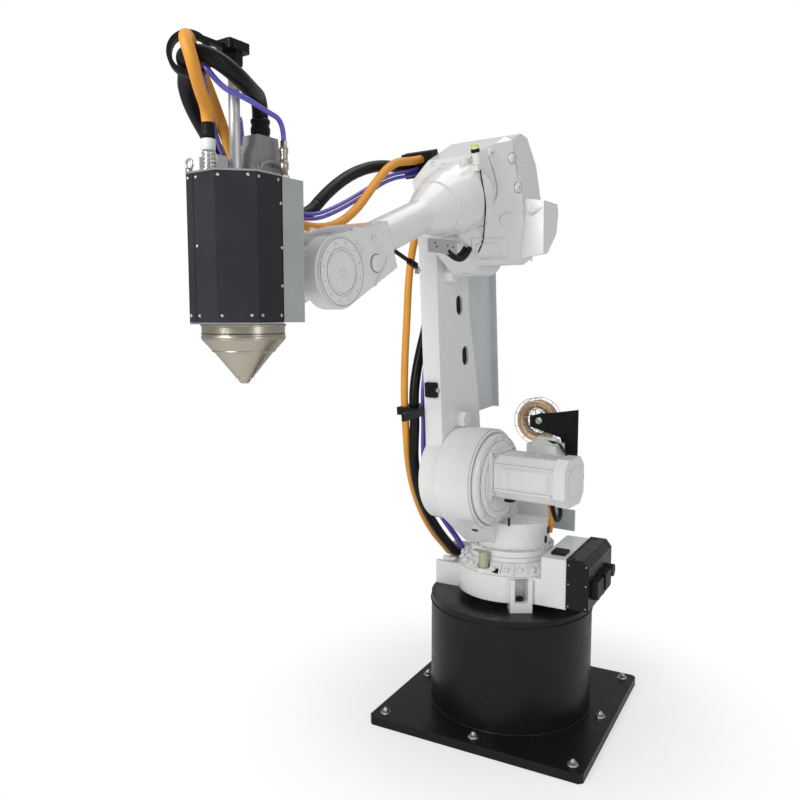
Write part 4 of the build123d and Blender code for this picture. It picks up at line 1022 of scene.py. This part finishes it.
class DressShoulder(bpy.types.Operator):
    """Adds the seam rings, motor rails, connectors and short cables of the turret"""

    bl_idname = "robot_dress.shoulder"
    bl_label = "Shoulder and motors"

    def execute(self, context):
        rings = Shape()
        at = facing(arm(4, *SHOULDER), NEAR, UP)
        rings.turned([(178, 0), (188, 0), (188, 3), (184, 6), (178, 6), (178, 0)], at, 96)
        inner = facing(arm(30.3, *SHOULDER), NEAR, UP)
        rings.turned([(146, 0), (146, 3), (140, 7), (120, 7), (0, 7)], inner, 96)
        rings.turned([(168, -1), (168, 3), (164, 3), (164, -1), (168, -1)], inner, 96)
        rings.fit("shoulder_seams", "white_paint", "turret")
        rails = Shape()
        for way in (AHEAD, UP, -AHEAD, -UP):
            plates = [(118, -47, (228, 9, 3.2)), (118, 47, (228, 9, 3.2)), (118, 0, (190, 70, 1.6))]
            for reach, shift, size in plates + [(60, 0, (8, 100, 2.4)), (214, 0, (8, 100, 2.4))]:
                rails.block(size, facing(on_motor(way, reach, shift), way, NEAR))
        rails.fit("motor_rails", "white_paint", "turret")
        cap = Shape()
        end = facing(MOTOR_AT + NEAR * CAP_END * MM, NEAR, UP)
        cap.turned([(58, -0.3), (58, 2), (54, 4), (0, 4)], end, 8, False, pi / 8)
        cap.turned([(70, -30), (86, -30), (86, -26), (70, -26)], end, 8, False, pi / 8)
        cap.fit("motor_end_plate", "white_paint", "turret")
        black = Shape()
        rear = facing(arm(306, 93, 521), -AHEAD, UP)
        black.turned([(19, 0), (19, 8), (15, 10), (15, 24), (12, 26), (12, 40), (0, 40)], rear, 20)
        black.block((30, 40, 8), rear)
        black.prism(oval(34, 15), 3, facing(arm(60, 148, 330), NEAR, UP))
        for side, forward, up in ((149, -14, 276), (150, 8, 244)):
            way = (NEAR * side + AHEAD * forward).normalized()
            black.prism(oval(30, 18), 2.5, facing(arm(0, 0, up) + way * 0.1497, way, UP))
        black.prism(
            oval(26, 14), 2.5, facing(arm(-36, 237, 303), (AHEAD * 0.6 - UP * 0.8).normalized(), NEAR)
        )
        black.fit("turret_plugs", "black_plastic", "turret")
        sockets = Shape()
        for side, rear_by, tall in ((30, 190, 20), (92, 176, 24)):
            sockets.turned(
                [(17, 0), (17, tall), (13, tall + 4), (0, tall + 4)], facing(arm(side, -rear_by, 590), UP), 20
            )
        sockets.block((96, 66, 16), facing(arm(60, -175, 590), UP, NEAR))
        sockets.block((60, 40, 12), facing(arm(60, -175, 606), UP, NEAR))
        sockets.fit("turn_motor_cap", "white_paint", "turret")
        wires = Shape()
        for i in range(4):
            start = arm(100 + 6 * i, -110, 612 - 3 * i)
            middle = arm(140 + 8 * i, -130, 600 - 8 * i)
            end = arm(120 + 6 * i, -205, 560 - 6 * i)
            line, _ = follow([start, arm(128 + 6 * i, -108, 612), middle, end], 0.006)
            wires.tube(line, 2.2, 8)
        wires.fit("motor_wires", "black_plastic", "turret", "rubber")
        for name, finish, radius, route in MOTOR_CABLES:
            line, _ = follow([arm(*p) for p in route], 0.006)
            Shape().tube(line, radius, 14).fit(name, finish, "turret", "rubber")
        hub = facing(arm(-12, -262, 668), AHEAD, UP)
        bolt = Shape()
        bolt.turned([(15, 0), (15, 3), (13, 5), (0, 5)], hub, 28)
        bolt.turned([(6, 5), (6, 8), (0, 8)], hub, 6, False)
        bolt.fit("spool_hub_bolt", "steel", "turret", "bare_alloy")
        return {"FINISHED"}


# ------------------------------------------------------------------ lower arm


ARM_FACE = -141


class DressArm(bpy.types.Operator):
    """Adds painted shade in the slots, and the caps and screws of the lower arm"""

    bl_idname = "robot_dress.lower_arm"
    bl_label = "Lower arm"

    def execute(self, context):
        # Dark prisms sunk into the two slots: painted shade in the recesses
        slots = Shape()
        for rear, along in ((38, 654), (71, 457)):
            slots.prism(oval(73.4, 45.4), 46, facing(link(ARM_FACE - 54.5, rear, along), NEAR, RISE))
        slots.fit("slot_liners", "rubber", "lower_arm")
        low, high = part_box("arm_buffer")
        middle = (low + high) / 2
        head = facing(middle + NEAR * max(0.0, (high - middle).dot(NEAR)), NEAR)
        Shape().turned(
            [(9, 0), (9, 2), (6, 2), (6, 6), (5, 7), (0, 7)], head, 20
        ).fit("buffer_screw", "steel", "lower_arm", "bare_alloy")
        plugs = Shape()
        for rear, along in ((-40, 769.5), (14, 217)):
            at = facing(link(ARM_FACE, rear, along), NEAR, RISE)
            plugs.turned([(40, -1), (40, 2), (38, 3), (0, 3)], at, 40)
            plugs.turned([(33, 3), (33, 28), (30, 33), (26, 34), (0, 34)], at, 6, False, 0.3)
        plugs.fit("hex_caps", "white_paint", "lower_arm")
        dots = Shape()
        for forward, up in ((102, 1255), (116, 1216)):
            dots.turned([(6, 0), (6, 2), (4, 3), (0, 3)], facing(arm(ARM_FACE, forward, up), NEAR), 16)
        dots.fit("arm_studs", "white_paint", "lower_arm")
        return {"FINISHED"}


# ------------------------------------------------------------------ elbow housing


def bead(points):
    """Points in metres with rounded turns, for a raised line."""
    return follow(points, 0.005)[0]


# Raised lines on the housing's near side, as (proud, bar radius, corner points along and over it)
HOUSING_LINES = [
    (
        0.5, 3.6,
        [(176, 40), (100, 16), (22, -6), (26, -44), (32, -78), (110, -54), (188, -30), (182, 4), (176, 40)],
    ),
    (
        0.5, 3.2,
        [(160, 16), (100, -2), (62, -14), (58, -40), (66, -58), (110, -46), (160, -30), (172, -8), (160, 16)],
    ),
    (1, 4, [(-62, 128), (-70, 60), (-78, -30), (-84, -122)]),
    (0.5, 3.5, [(-100, 300), (-74, 230), (-60, 170), (-62, 132)]),
]
HOUSING_SEAM = [(50, 300), (34, 230), (30, 178), (40, 140), (84, 108), (150, 92), (228, 80)]
# Bolt pads on it, as (along, over, radius)
PADS = ((-47, 253, 15), (-55, 152, 15), (118, 83, 14), (78, 137, 12), (160, 96, 12))


class DressElbow(bpy.types.Operator):
    """Adds the ridges, bolt pads, cable plate, lamp parts and lead of the elbow"""

    bl_idname = "robot_dress.elbow"
    bl_label = "Elbow"

    def execute(self, context):
        cast = Shape()
        cast.tube(bead([flat(a, b, 1) for a, b in HOUSING_SEAM]), 4.5, 10)
        for proud, radius, corners in HOUSING_LINES:
            cast.tube(bead([flat(a, b, proud) for a, b in corners]), radius, 10)
        cast.prism(oval(62, 34), 5, facing(flat(20, 63), FRONT_FLAT, ALONG))
        for along, height, radius in (*PADS, (40, 292, 13), (150, 286, 14)):
            cast.turned(
                [(radius + 4, -1), (radius, 4), (0, 4)], facing(flat(along, height, -0.5), FRONT_FLAT), 28
            )
        for along, height in ((110, 210), (70, 196)):
            cast.turned([(26, -4), (20, 8), (0, 10)], facing(flat(along, height), FRONT_FLAT), 28)
        cast.fit("housing_ridges", "white_paint", "elbow")
        pod = Shape()
        for start, end in (((150, -60, 60), (196, -96, 66)), ((150, -40, -60), (194, -60, -64))):
            pod.tube(bead([fore(*start), (fore(*start) + fore(*end)) / 2 + NEAR * 0.001, fore(*end)]), 6, 10)
        pod.fit("pod_ribs", "white_paint", "elbow")
        plate = Shape()
        corners = [(434, 117), (269, 61), (286, 15), (446, 77)]
        points = [fore(40, a, b) for a, b in corners] + [fore(43, a, b) for a, b in corners]
        plate.add(
            points, [(0, 1, 2, 3), (7, 6, 5, 4), (0, 4, 5, 1), (1, 5, 6, 2), (2, 6, 7, 3), (3, 7, 4, 0)],
            None, False,
        )
        points = [fore(s, a, b) for s in (40, -46) for a, b in ((300, 71), (240, 50), (243, 44), (303, 65))]
        plate.add(
            points, [(3, 2, 1, 0), (4, 5, 6, 7), (0, 1, 5, 4), (1, 2, 6, 5), (2, 3, 7, 6), (3, 0, 4, 7)],
            None, False,
        )
        piece = plate.fit("root_plate", "bare_alloy", "elbow", "zinc")
        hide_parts("root_bracket")
        # Dark discs on the cable plate where its holes are: painted shade in the holes
        holes = Shape()
        for a, b in ((400, 92), (395, 78), (330, 62), (300, 48)):
            holes.turned([(3.4, 0), (3.4, 0.6), (0, 0.6)], facing(fore(43, a, b), NEAR), 14)
        holes.fit("root_plate_holes", "rubber", "elbow")
        saddle = Shape()
        saddle.tube(
            bead([fore(36, 330, 44), fore(40, 296, 6), fore(42, 240, -10), fore(42, 196, 12)]), 10, 14
        )
        saddle.tube(bead([fore(24, 322, 40), fore(28, 290, 14), fore(30, 240, 2), fore(30, 206, 18)]), 8, 14)
        saddle.fit("lead_saddle", "black_plastic", "elbow")
        lamp_foot = fore(88, 133, 274)
        Shape().turned(
            [(13.9, 38), (14.4, 39), (14.4, 49), (13.9, 50), (0, 50)], facing(lamp_foot, OVER, NEAR), 32
        ).fit("lamp_band", "black_plastic", "elbow")
        Shape().turned(
            [(13.2, 50), (13.2, 57), (11, 62), (6, 64), (0, 65)], facing(lamp_foot, OVER, NEAR), 32
        ).fit("lamp_lens", "lamp_lime", "elbow", "lamp_white")
        lead = [
            fore(*p)
            for p in (
                (98, 140, 262), (106, 154, 240), (113, 166, 205), (117, 172, 160), (108, 168, 120),
                (84, 148, 76), (67, 126, 46), (60, 138, 8), (50, 160, -14),
            )
        ]
        line, length = follow(lead, 0.005)
        cable = hose_mesh("lamp_lead", line, 0.0023, 0.0, FINISH["rubber"])
        dress(cable, "elbow")
        return {"FINISHED"}


# ------------------------------------------------------------------ wrist


# Raised lines on both sides of the forearm's end, along and over it
YOKE_LINES = [
    [(872, 262), (818, 246), (785, 224), (788, 192), (748, 169), (752, 140), (800, 112), (832, 96)],
    [(868, 226), (844, 218), (848, 194), (868, 176)],
    [(742, 216), (752, 246), (786, 252)],
]


class DressWrist(bpy.types.Operator):
    """Adds the rings and ridges of the wrist's covers and the strut with its end"""

    bl_idname = "robot_dress.wrist"
    bl_label = "Forearm and wrist"

    def execute(self, context):
        rings = Shape()
        for side, way in ((COVER_SIDE, NEAR), (-COVER_SIDE, -NEAR)):
            at = facing(fore(side, *COVER_AT), way, UP)
            rings.turned([(60, -0.2), (60, 1.6), (57, 2.4), (54, 1.6), (54, -0.2)], at, 80)
            rings.turned([(9, -0.2), (9, 1.4), (6, 2), (0, 1.2)], at, 28)
        rings.turned([(24, -1), (22, 6), (18, 8), (0, 8)], facing(fore(108, 804, 149), NEAR), 32)
        for corners in YOKE_LINES:
            for side in (108.5, -108.5):
                rings.tube(bead([fore(side, a, b) for a, b in corners]), 4, 10)
        rings.fit("wrist_cover_rings", "white_paint", "forearm")
        bar = Shape()
        upper, lower, end = arm(8, 852, 1310), arm(8, 706, 1262), arm(8, 700, 1242)
        way = (upper - lower).normalized()
        bar.block((11, 7, (upper - lower).length / MM), facing(lower, way, NEAR.cross(way)))
        bar.block((17, 12, 46), facing(lower - way * 0.002, way, NEAR.cross(way)))
        bar.block((30, 22, 24), facing(upper - way * 0.02, way, NEAR.cross(way)))
        for reach in (0.012, 0.036):
            bar.turned(
                [(5.5, 0), (5.5, 3), (4, 4), (0, 4)], facing(lower + way * reach + NEAR * 0.006, NEAR), 16
            )
        piece = bar.fit("strut_link", "black_plastic", "forearm")
        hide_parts("strut_bracket")
        tip = Shape()
        tip.block((15, 8, 24), facing(end - UP * 0.004, UP, AHEAD))
        tip.turned([(6, 0), (6, 5), (4, 7), (0, 7)], facing(arm(12, 701, 1249), NEAR), 16)
        tip.fit("strut_end", "steel", "forearm", "bare_alloy")
        return {"FINISHED"}


# ------------------------------------------------------------------ tool head


TOOL_TOP = 210.6


def on_top(side, forward, up=0):
    """The matrix that stands a shape on the top of the tool."""
    return facing(tool(side, forward, TOOL_TOP + up), UP, NEAR)


class DressTool(bpy.types.Operator):
    """Adds the fittings on top of the tool, its seams, its mast's clamp and the rings of its nozzle"""

    bl_idname = "robot_dress.tool"
    bl_label = "Tool head"

    def execute(self, context):
        supply = on_top(0, 325)
        chrome = Shape()
        ribs = [(19, 0), (19, 5), (14, 7)]
        for i in range(4):
            z = 9 + i * 9
            ribs += [(12.5, z), (15.5, z + 1.5), (15.5, z + 5), (12.5, z + 6.5)]
        chrome.turned(ribs + [(12.5, 46), (0, 46)], supply, 32)
        piece = chrome.fit("supply_coupling", "chrome", "tool", "bare_alloy")
        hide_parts("top_fittings")
        Shape().turned(
            [(15, 46), (16, 47), (16, 70), (15, 71), (0, 71)], supply, 32
        ).fit("supply_collar", "lamp_white", "tool")
        Shape().turned(
            [(15.6, 71), (15.6, 84), (15.0, 85), (15.0, 106), (13, 108)], supply, 32
        ).fit("supply_sleeve", "rubber", "tool")
        for name, (side, forward) in (("air_fitting", (64, 150)), ("water_fitting", (-64, 172))):
            at = on_top(side, forward)
            metal = Shape()
            metal.turned([(13, 0), (13, 10), (0, 10)], at, 6, False)
            metal.turned(
                [
                    (9, 10), (9, 24), (11, 25), (11, 42), (9, 43), (9, 60), (10.4, 61), (10.4, 74), (8, 76),
                    (8, 90), (0, 90),
                ],
                at, 28,
            )
            metal.fit(name, "nickel", "tool", "zinc")
        eye = Shape()
        eye.turned([(9, 0), (9, 12), (0, 12)], on_top(-60, 330), 20)
        eye.hoop(11, 3, facing(tool(-60, 330, TOOL_TOP + 22), AHEAD, UP), 28, 8)
        eye.fit("lifting_eyes", "steel", "tool", "bare_alloy")
        block = Shape()
        block.block((58, 34, 42), on_top(-28, 286))
        block.turned([(12, 0), (12, 9), (9, 11), (0, 11)], on_top(-40, 286, 42), 6, False)
        block.fit("valve_block", "bare_alloy", "tool")
        corners = [(-12, 304, 36), (4, 316, 52), (14, 312, 30), (2, 306, 16)]
        line, _ = follow([tool(side, forward, TOOL_TOP + up) for side, forward, up in corners], 0.004)
        Shape().tube(line, 2.4, 8).fit("block_tube", "lamp_white", "tool")
        plug = on_top(0, 162)
        hood = Shape()
        hood.block((62, 104, 26), plug)
        outline = [(-27, -52), (27, -52), (27, 52), (-27, 52)]
        rise = [(1.0, 26), (0.96, 56), (0.70, 84), (0.66, 104)]
        points = [Vector((x * k if k > 0.9 else x * 0.9, y * k, z)) * MM for k, z in rise for x, y in outline]
        faces = [
            (r * 4 + i, r * 4 + (i + 1) % 4, r * 4 + 4 + (i + 1) % 4, r * 4 + 4 + i)
            for r in range(3)
            for i in range(4)
        ]
        hood.add(points, faces + [(3, 2, 1, 0), (12, 13, 14, 15)], plug, False)
        for x in (-1, 1):
            for size, y, z in (((8, 86, 12), 0, 18), ((7, 16, 34), -22, 8), ((7, 16, 34), 22, 8)):
                hood.block(size, plug @ Matrix.Translation(spot(x * 31, y, z)))
            lever = [(33, -40, 10), (36, -34, 34), (37, 0, 46), (36, 34, 34), (33, 40, 10)]
            hood.tube(bead([plug @ spot(x * out, y, z) for out, y, z in lever]), 3.6, 10)
            for y in (-26, 26):
                hood.turned(
                    [(7, 0), (7, 3), (4, 5), (0, 5)], facing(plug @ spot(x * 31, y, 20), NEAR * x), 16
                )
        piece = hood.fit("plug_hood", "grey_connector", "tool")
        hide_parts("power_plug")
        Shape().turned(
            [
                (22, 104), (22, 112), (23.5, 113), (23.5, 126), (21.5, 128), (21.5, 136), (23.5, 137),
                (23.5, 144), (21, 147), (19, 148),
            ],
            plug, 14, False,
        ).fit("plug_gland", "black_plastic", "tool")
        seams = Shape()
        for side, normal in ((TOOL_SIDE, NEAR), (-TOOL_SIDE, -NEAR)):
            seams.block((2.4, 328, 0.8), facing(tool(side, 208.6, 40), normal, AHEAD))
        seams.block((1.2, 330, 0.5), facing(tool(-23, TOOL_FRONT, 40), AHEAD, NEAR))
        seams.fit("tool_seams", "rubber", "tool", "charcoal")
        clamp = Shape()
        clamp.block((58, 46, 20), facing(tool(0, 245, 488), UP, NEAR))
        for side in (-1, 1):
            clamp.block((14, 20, 46), facing(tool(side * 16, 247, 460), UP, NEAR))
        clamp.block((30, 30, 30), facing(tool(0, 245, 458), UP, NEAR))
        clamp.fit("mast_clamp", "black_plastic", "tool")
        pins = Shape()
        for side, forward, up in (
            (-20, 268, 498), (20, 268, 498), (-20, 268, 474), (18, 240, 508), (-18, 240, 508),
        ):
            pins.turned(
                [(4.5, 0), (4.5, 4), (0, 4)], facing(tool(side, forward, up), AHEAD if up < 505 else UP), 6,
                False,
            )
        pins.fit("mast_clamp_screws", "steel", "tool", "bare_alloy")
        Shape().turned(
            [(22, 0), (22, 6), (17, 8), (17, 14), (0, 14)], facing(tool(0, 245, TOOL_TOP), UP), 28
        ).fit("mast_foot", "black_plastic", "tool")
        nozzle = tool(0, 230, -130.6)
        down = facing(nozzle, -UP, NEAR)
        rings = Shape()
        rings.turned([(99.5, 0), (100.5, 1), (100.5, 4), (98.3, 5)], down, 96)
        rings.turned([(98.2, 26), (99.4, 27), (99.4, 33), (98.2, 35)], down, 96)
        rings.turned([(73, 61), (75.2, 61.5), (75.2, 64.5), (72, 66)], down, 96)
        rings.fit("nozzle_rings", "nickel", "tool")
        gap = Shape()
        gap.turned([(98.4, -1.5), (101, -1), (101, 0.5), (98.4, 1)], down, 96)
        gap.turned([(98.3, 21), (98.7, 21.4), (98.7, 22.4), (98.3, 23)], down, 96)
        gap.fit("nozzle_gap", "rubber", "tool", "black_plastic")
        holes = Shape()
        slope = (74 - 9) / 78
        for i in range(8):
            a = tau * i / 8
            way = NEAR * cos(a) + AHEAD * sin(a)
            foot = nozzle - UP * 0.128 + way * 0.0215
            holes.turned([(2.6, 0), (2.6, 0.8), (0, 0.8)], facing(foot, (way - UP * slope).normalized()), 12)
        holes.fit("nozzle_holes", "chrome", "tool", "nickel")
        return {"FINISHED"}


# ------------------------------------------------------------------ wire spool


TURNS_SEEN = 14
SPOKES = 10


class DressSpool(bpy.types.Operator):
    """Makes the wound wire and the wire basket that holds it"""

    bl_idname = "robot_dress.spool"
    bl_label = "Wire spool"

    def execute(self, context):
        middle = arm(-34, -300, 664)
        at = facing(middle, AHEAD, UP)
        wound = Shape()
        profile = [(57, -22), (86, -22)]
        for i in range(TURNS_SEEN):
            z = -22 + 44 * (i + 0.5) / TURNS_SEEN
            profile += [(87.4, z), (86.2, z + 1.5)]
        profile += [(86, 22), (57, 22), (57, -22)]
        wound.turned(profile, at, 72)
        piece = wound.fit("wound_wire", "copper_wire", "spool")
        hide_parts("wire_spool")
        basket = Shape()
        for z in (-26, 26):
            for radius in (98, 74, 50, 22):
                basket.hoop(radius, 1.3, at @ Matrix.Translation(spot(0, 0, z)), 64, 6)
            for i in range(SPOKES):
                way = level_way(tau * i / SPOKES)
                line = [at @ (way * r * MM + spot(0, 0, z)) for r in (14, 50, 98)]
                basket.tube(line, 1.3, 6)
        for i in range(SPOKES):
            way = level_way(tau * i / SPOKES) * 52 * MM
            basket.tube([at @ (way + spot(0, 0, z)) for z in (-26, 0, 26)], 1.3, 6)
        basket.turned([(24, -27), (24, 27), (13, 27), (13, -27), (24, -27)], at, 36)
        basket.fit("spool_basket", "steel", "spool", "copper_wire")
        return {"FINISHED"}


# ------------------------------------------------------------------ seams


SEAM_RADIUS = 0.7
# Corners of the motor's square outline, for half its width
MOTOR_RIM = [
    (1, -0.66), (1, 0.66), (0.66, 1), (-0.66, 1), (-1, 0.66),
    (-1, -0.66), (-0.66, -1), (0.66, -1), (1, -0.66),
]


class DrawSeams(bpy.types.Operator):
    """Draws the narrow shaded joints between castings, covers and rails"""

    bl_idname = "robot_dress.seams"
    bl_label = "Seams"

    def execute(self, context):
        base = Shape()
        for radius, height in ((212.3, 602), (168.3, 642)):
            base.hoop(radius, SEAM_RADIUS, Matrix.Translation(spot(0, 0, height)), 120, 6)
        base.fit("base_seams", "seam_grey", "base", "charcoal")
        turret = Shape()
        for radius, side in ((188.2, 4.4), (172.3, 8), (164.2, 30.6), (146.3, 30.7), (120, 37.5)):
            turret.hoop(radius, SEAM_RADIUS, facing(arm(side, *SHOULDER), NEAR, UP), 120, 6)
        turret.hoop(166.4, SEAM_RADIUS, Matrix.Translation(arm(0, 0, 214.6)), 120, 6)
        turret.hoop(150.6, SEAM_RADIUS, Matrix.Translation(arm(0, 0, 215.6)), 120, 6)
        for way in (AHEAD, UP, -AHEAD, -UP):
            for shift in (-51.6, -42.4, 42.4, 51.6):
                turret.tube([on_motor(way, reach, shift, 0.2) for reach in (4, 120, 232)], SEAM_RADIUS, 6)
        for reach in (0.6, MOTOR_END - MOTOR_FACE - 0.4):
            start = MOTOR_AT + NEAR * (MOTOR_FACE + reach) * MM
            rim = [start + AHEAD * x * 0.0793 + UP * y * 0.0793 for x, y in MOTOR_RIM]
            turret.tube(rim, SEAM_RADIUS, 6)
        turret.fit("turret_seams", "seam_grey", "turret", "charcoal")
        forearm = Shape()
        for side, way in ((118.3, NEAR), (-118.3, -NEAR)):
            for radius in (85, 53.6, 60.4):
                forearm.hoop(radius, SEAM_RADIUS, facing(fore(side, *COVER_AT), way, UP), 96, 6)
            forearm.hoop(24.6, SEAM_RADIUS, facing(fore(108.4, 804, 149), NEAR, UP), 48, 6)
        forearm.fit("forearm_seams", "seam_grey", "forearm", "charcoal")
        elbow = Shape()
        for lift in (-5.2, 5.2):
            elbow.tube(bead([flat(a + lift, b, 0.6) for a, b in HOUSING_SEAM]), SEAM_RADIUS, 6)
        crest = [fore(CREST_SIDE + 0.4, CREST_ALONG, b) for b in (296, 200, 128)]
        elbow.tube(crest, SEAM_RADIUS, 6)
        for along, height, radius in PADS:
            elbow.hoop(radius + 3.6, SEAM_RADIUS, facing(flat(along, height, 0.4), FRONT_FLAT), 36, 6)
        elbow.fit("elbow_seams", "seam_grey", "elbow", "charcoal")
        return {"FINISHED"}


# ------------------------------------------------------------------ studio

CAMERA_AT = (1.0615, -2.8717, 1.5664)
CAMERA_YAW = 28.717
CAMERA_DIP = 5.97
CAMERA_LENS = 34.76
FLOOR_HALF = 14.0
FLOOR_GAP = 0.0005


def area_light(name, at, towards, size, power):
    """A soft oblong light at a point, turned to another point."""
    data = bpy.data.lights.new(name, "AREA")
    data.shape = "RECTANGLE"
    data.size, data.size_y = size
    data.energy = power
    made = new_object(name, data)
    made.location = at
    made.rotation_euler = (Vector(towards) - Vector(at)).to_track_quat("-Z", "Y").to_euler()
    return made


def floor_finish():
    """Matt white that keeps the shadow near the object and turns to plain white further out."""
    made = bpy.data.materials.new("studio_floor")
    made.use_nodes = True
    tree = made.node_tree
    shader = tree.nodes["Principled BSDF"]
    setting(shader, Base_Color=(0.93, 0.93, 0.93, 1), Roughness=0.9, Specular_IOR_Level=0.1)
    glow = new_node(tree, "ShaderNodeEmission", Strength=1.0)
    place = new_node(tree, "ShaderNodeTexCoord")
    reach = new_node(tree, "ShaderNodeVectorMath", operation="LENGTH")
    spread = new_node(
        tree, "ShaderNodeMapRange", interpolation_type="SMOOTHSTEP", From_Min=0.45, From_Max=1.15
    )
    setting(spread, To_Min=0.55, To_Max=1.0)
    path = new_node(tree, "ShaderNodeLightPath")
    seen = new_node(tree, "ShaderNodeMath", operation="MULTIPLY")
    mix = new_node(tree, "ShaderNodeMixShader")
    wire(
        tree,
        (place, "Object", reach, 0),
        (reach, "Value", spread, "Value"),
        (spread, "Result", seen, 0),
        (path, "Is Camera Ray", seen, 1),
        (seen, "Value", mix, "Fac"),
        (shader, "BSDF", mix, 1),
        (glow, "Emission", mix, 2),
        (mix, "Shader", tree.nodes["Material Output"], "Surface"),
    )
    return made


class BuildStudio(bpy.types.Operator):
    """Makes the floor, the white surroundings, the lights and the camera"""

    bl_idname = "robot_dress.studio"
    bl_label = "Studio"

    def execute(self, context):
        scene = context.scene
        scene.view_settings.view_transform = "Standard"
        corners = [(x * FLOOR_HALF, y * FLOOR_HALF, 0) for x, y in ((-1, -1), (1, -1), (1, 1), (-1, 1))]
        mesh = bpy.data.meshes.new("studio_floor")
        mesh.from_pydata(corners, [], [(0, 1, 2, 3)])
        mesh.materials.append(floor_finish())
        floor = new_object("studio_floor", mesh)
        floor.location.z = -FLOOR_GAP
        world = bpy.data.worlds.new("studio")
        world.use_nodes = True
        scene.world = world
        tree = world.node_tree
        back = tree.nodes["Background"]
        path = new_node(tree, "ShaderNodeLightPath")
        level = new_node(tree, "ShaderNodeMapRange", To_Min=0.42, To_Max=1.0)
        setting(back, Color=(1, 1, 1, 1))
        wire(tree, (path, "Is Camera Ray", level, "Value"), (level, "Result", back, "Strength"))
        key = area_light("key_light", (-0.9, -4.6, 3.2), (0, -0.6, 1.3), (1.2, 2.2), 110.0)
        fill = area_light("fill_light", (3.6, -2.2, 1.9), (0, -0.3, 1.1), (0.7, 2.8), 22.0)
        top = area_light("top_light", (0.2, 0.4, 5.2), (0, -0.4, 1.0), (2.6, 2.6), 42.0)
        data = bpy.data.cameras.new("photo_camera")
        data.sensor_width = 36.0
        data.lens = CAMERA_LENS
        data.clip_end = 60.0
        camera = new_object("photo_camera", data)
        camera.location = CAMERA_AT
        camera.rotation_euler = (radians(90 - CAMERA_DIP), 0, radians(CAMERA_YAW))
        scene.camera = camera
        return {"FINISHED"}


# ------------------------------------------------------------------ panel


class DressPanel(bpy.types.Panel):
    """Lists the sizes, the colours and the steps"""

    bl_idname = "VIEW3D_PT_robot_dress"
    bl_label = "Robot arm"
    bl_space_type = "VIEW_3D"
    bl_region_type = "UI"
    bl_category = "Robot arm"

    def draw(self, context):
        for settings in (context.scene.dress_sizes, context.scene.dress_finishes):
            box = self.layout.box()
            for name in settings.__annotations__:
                box.prop(settings, name)
        for step in STEPS:
            self.layout.operator(step.bl_idname)


STEPS = (
    FinishCastings, RunHoses, SetFasteners, DressBase, DressShoulder, DressArm, DressElbow, DressWrist,
    DressTool, DressSpool, DrawSeams, BuildStudio,
)

SETTINGS = (DressFinishes, DressSizes)


def register():
    for made in (*SETTINGS, *STEPS, DressPanel):
        bpy.utils.register_class(made)
    bpy.types.Scene.dress_finishes = bpy.props.PointerProperty(type=DressFinishes)
    bpy.types.Scene.dress_sizes = bpy.props.PointerProperty(type=DressSizes)


def unregister():
    del bpy.types.Scene.dress_sizes
    del bpy.types.Scene.dress_finishes
    for made in reversed((*SETTINGS, *STEPS, DressPanel)):
        bpy.utils.unregister_class(made)


def main():
    register()
    for step in STEPS:
        space, name = step.bl_idname.split(".")
        getattr(getattr(bpy.ops, space), name)()


if __name__ == "__main__":
    main()
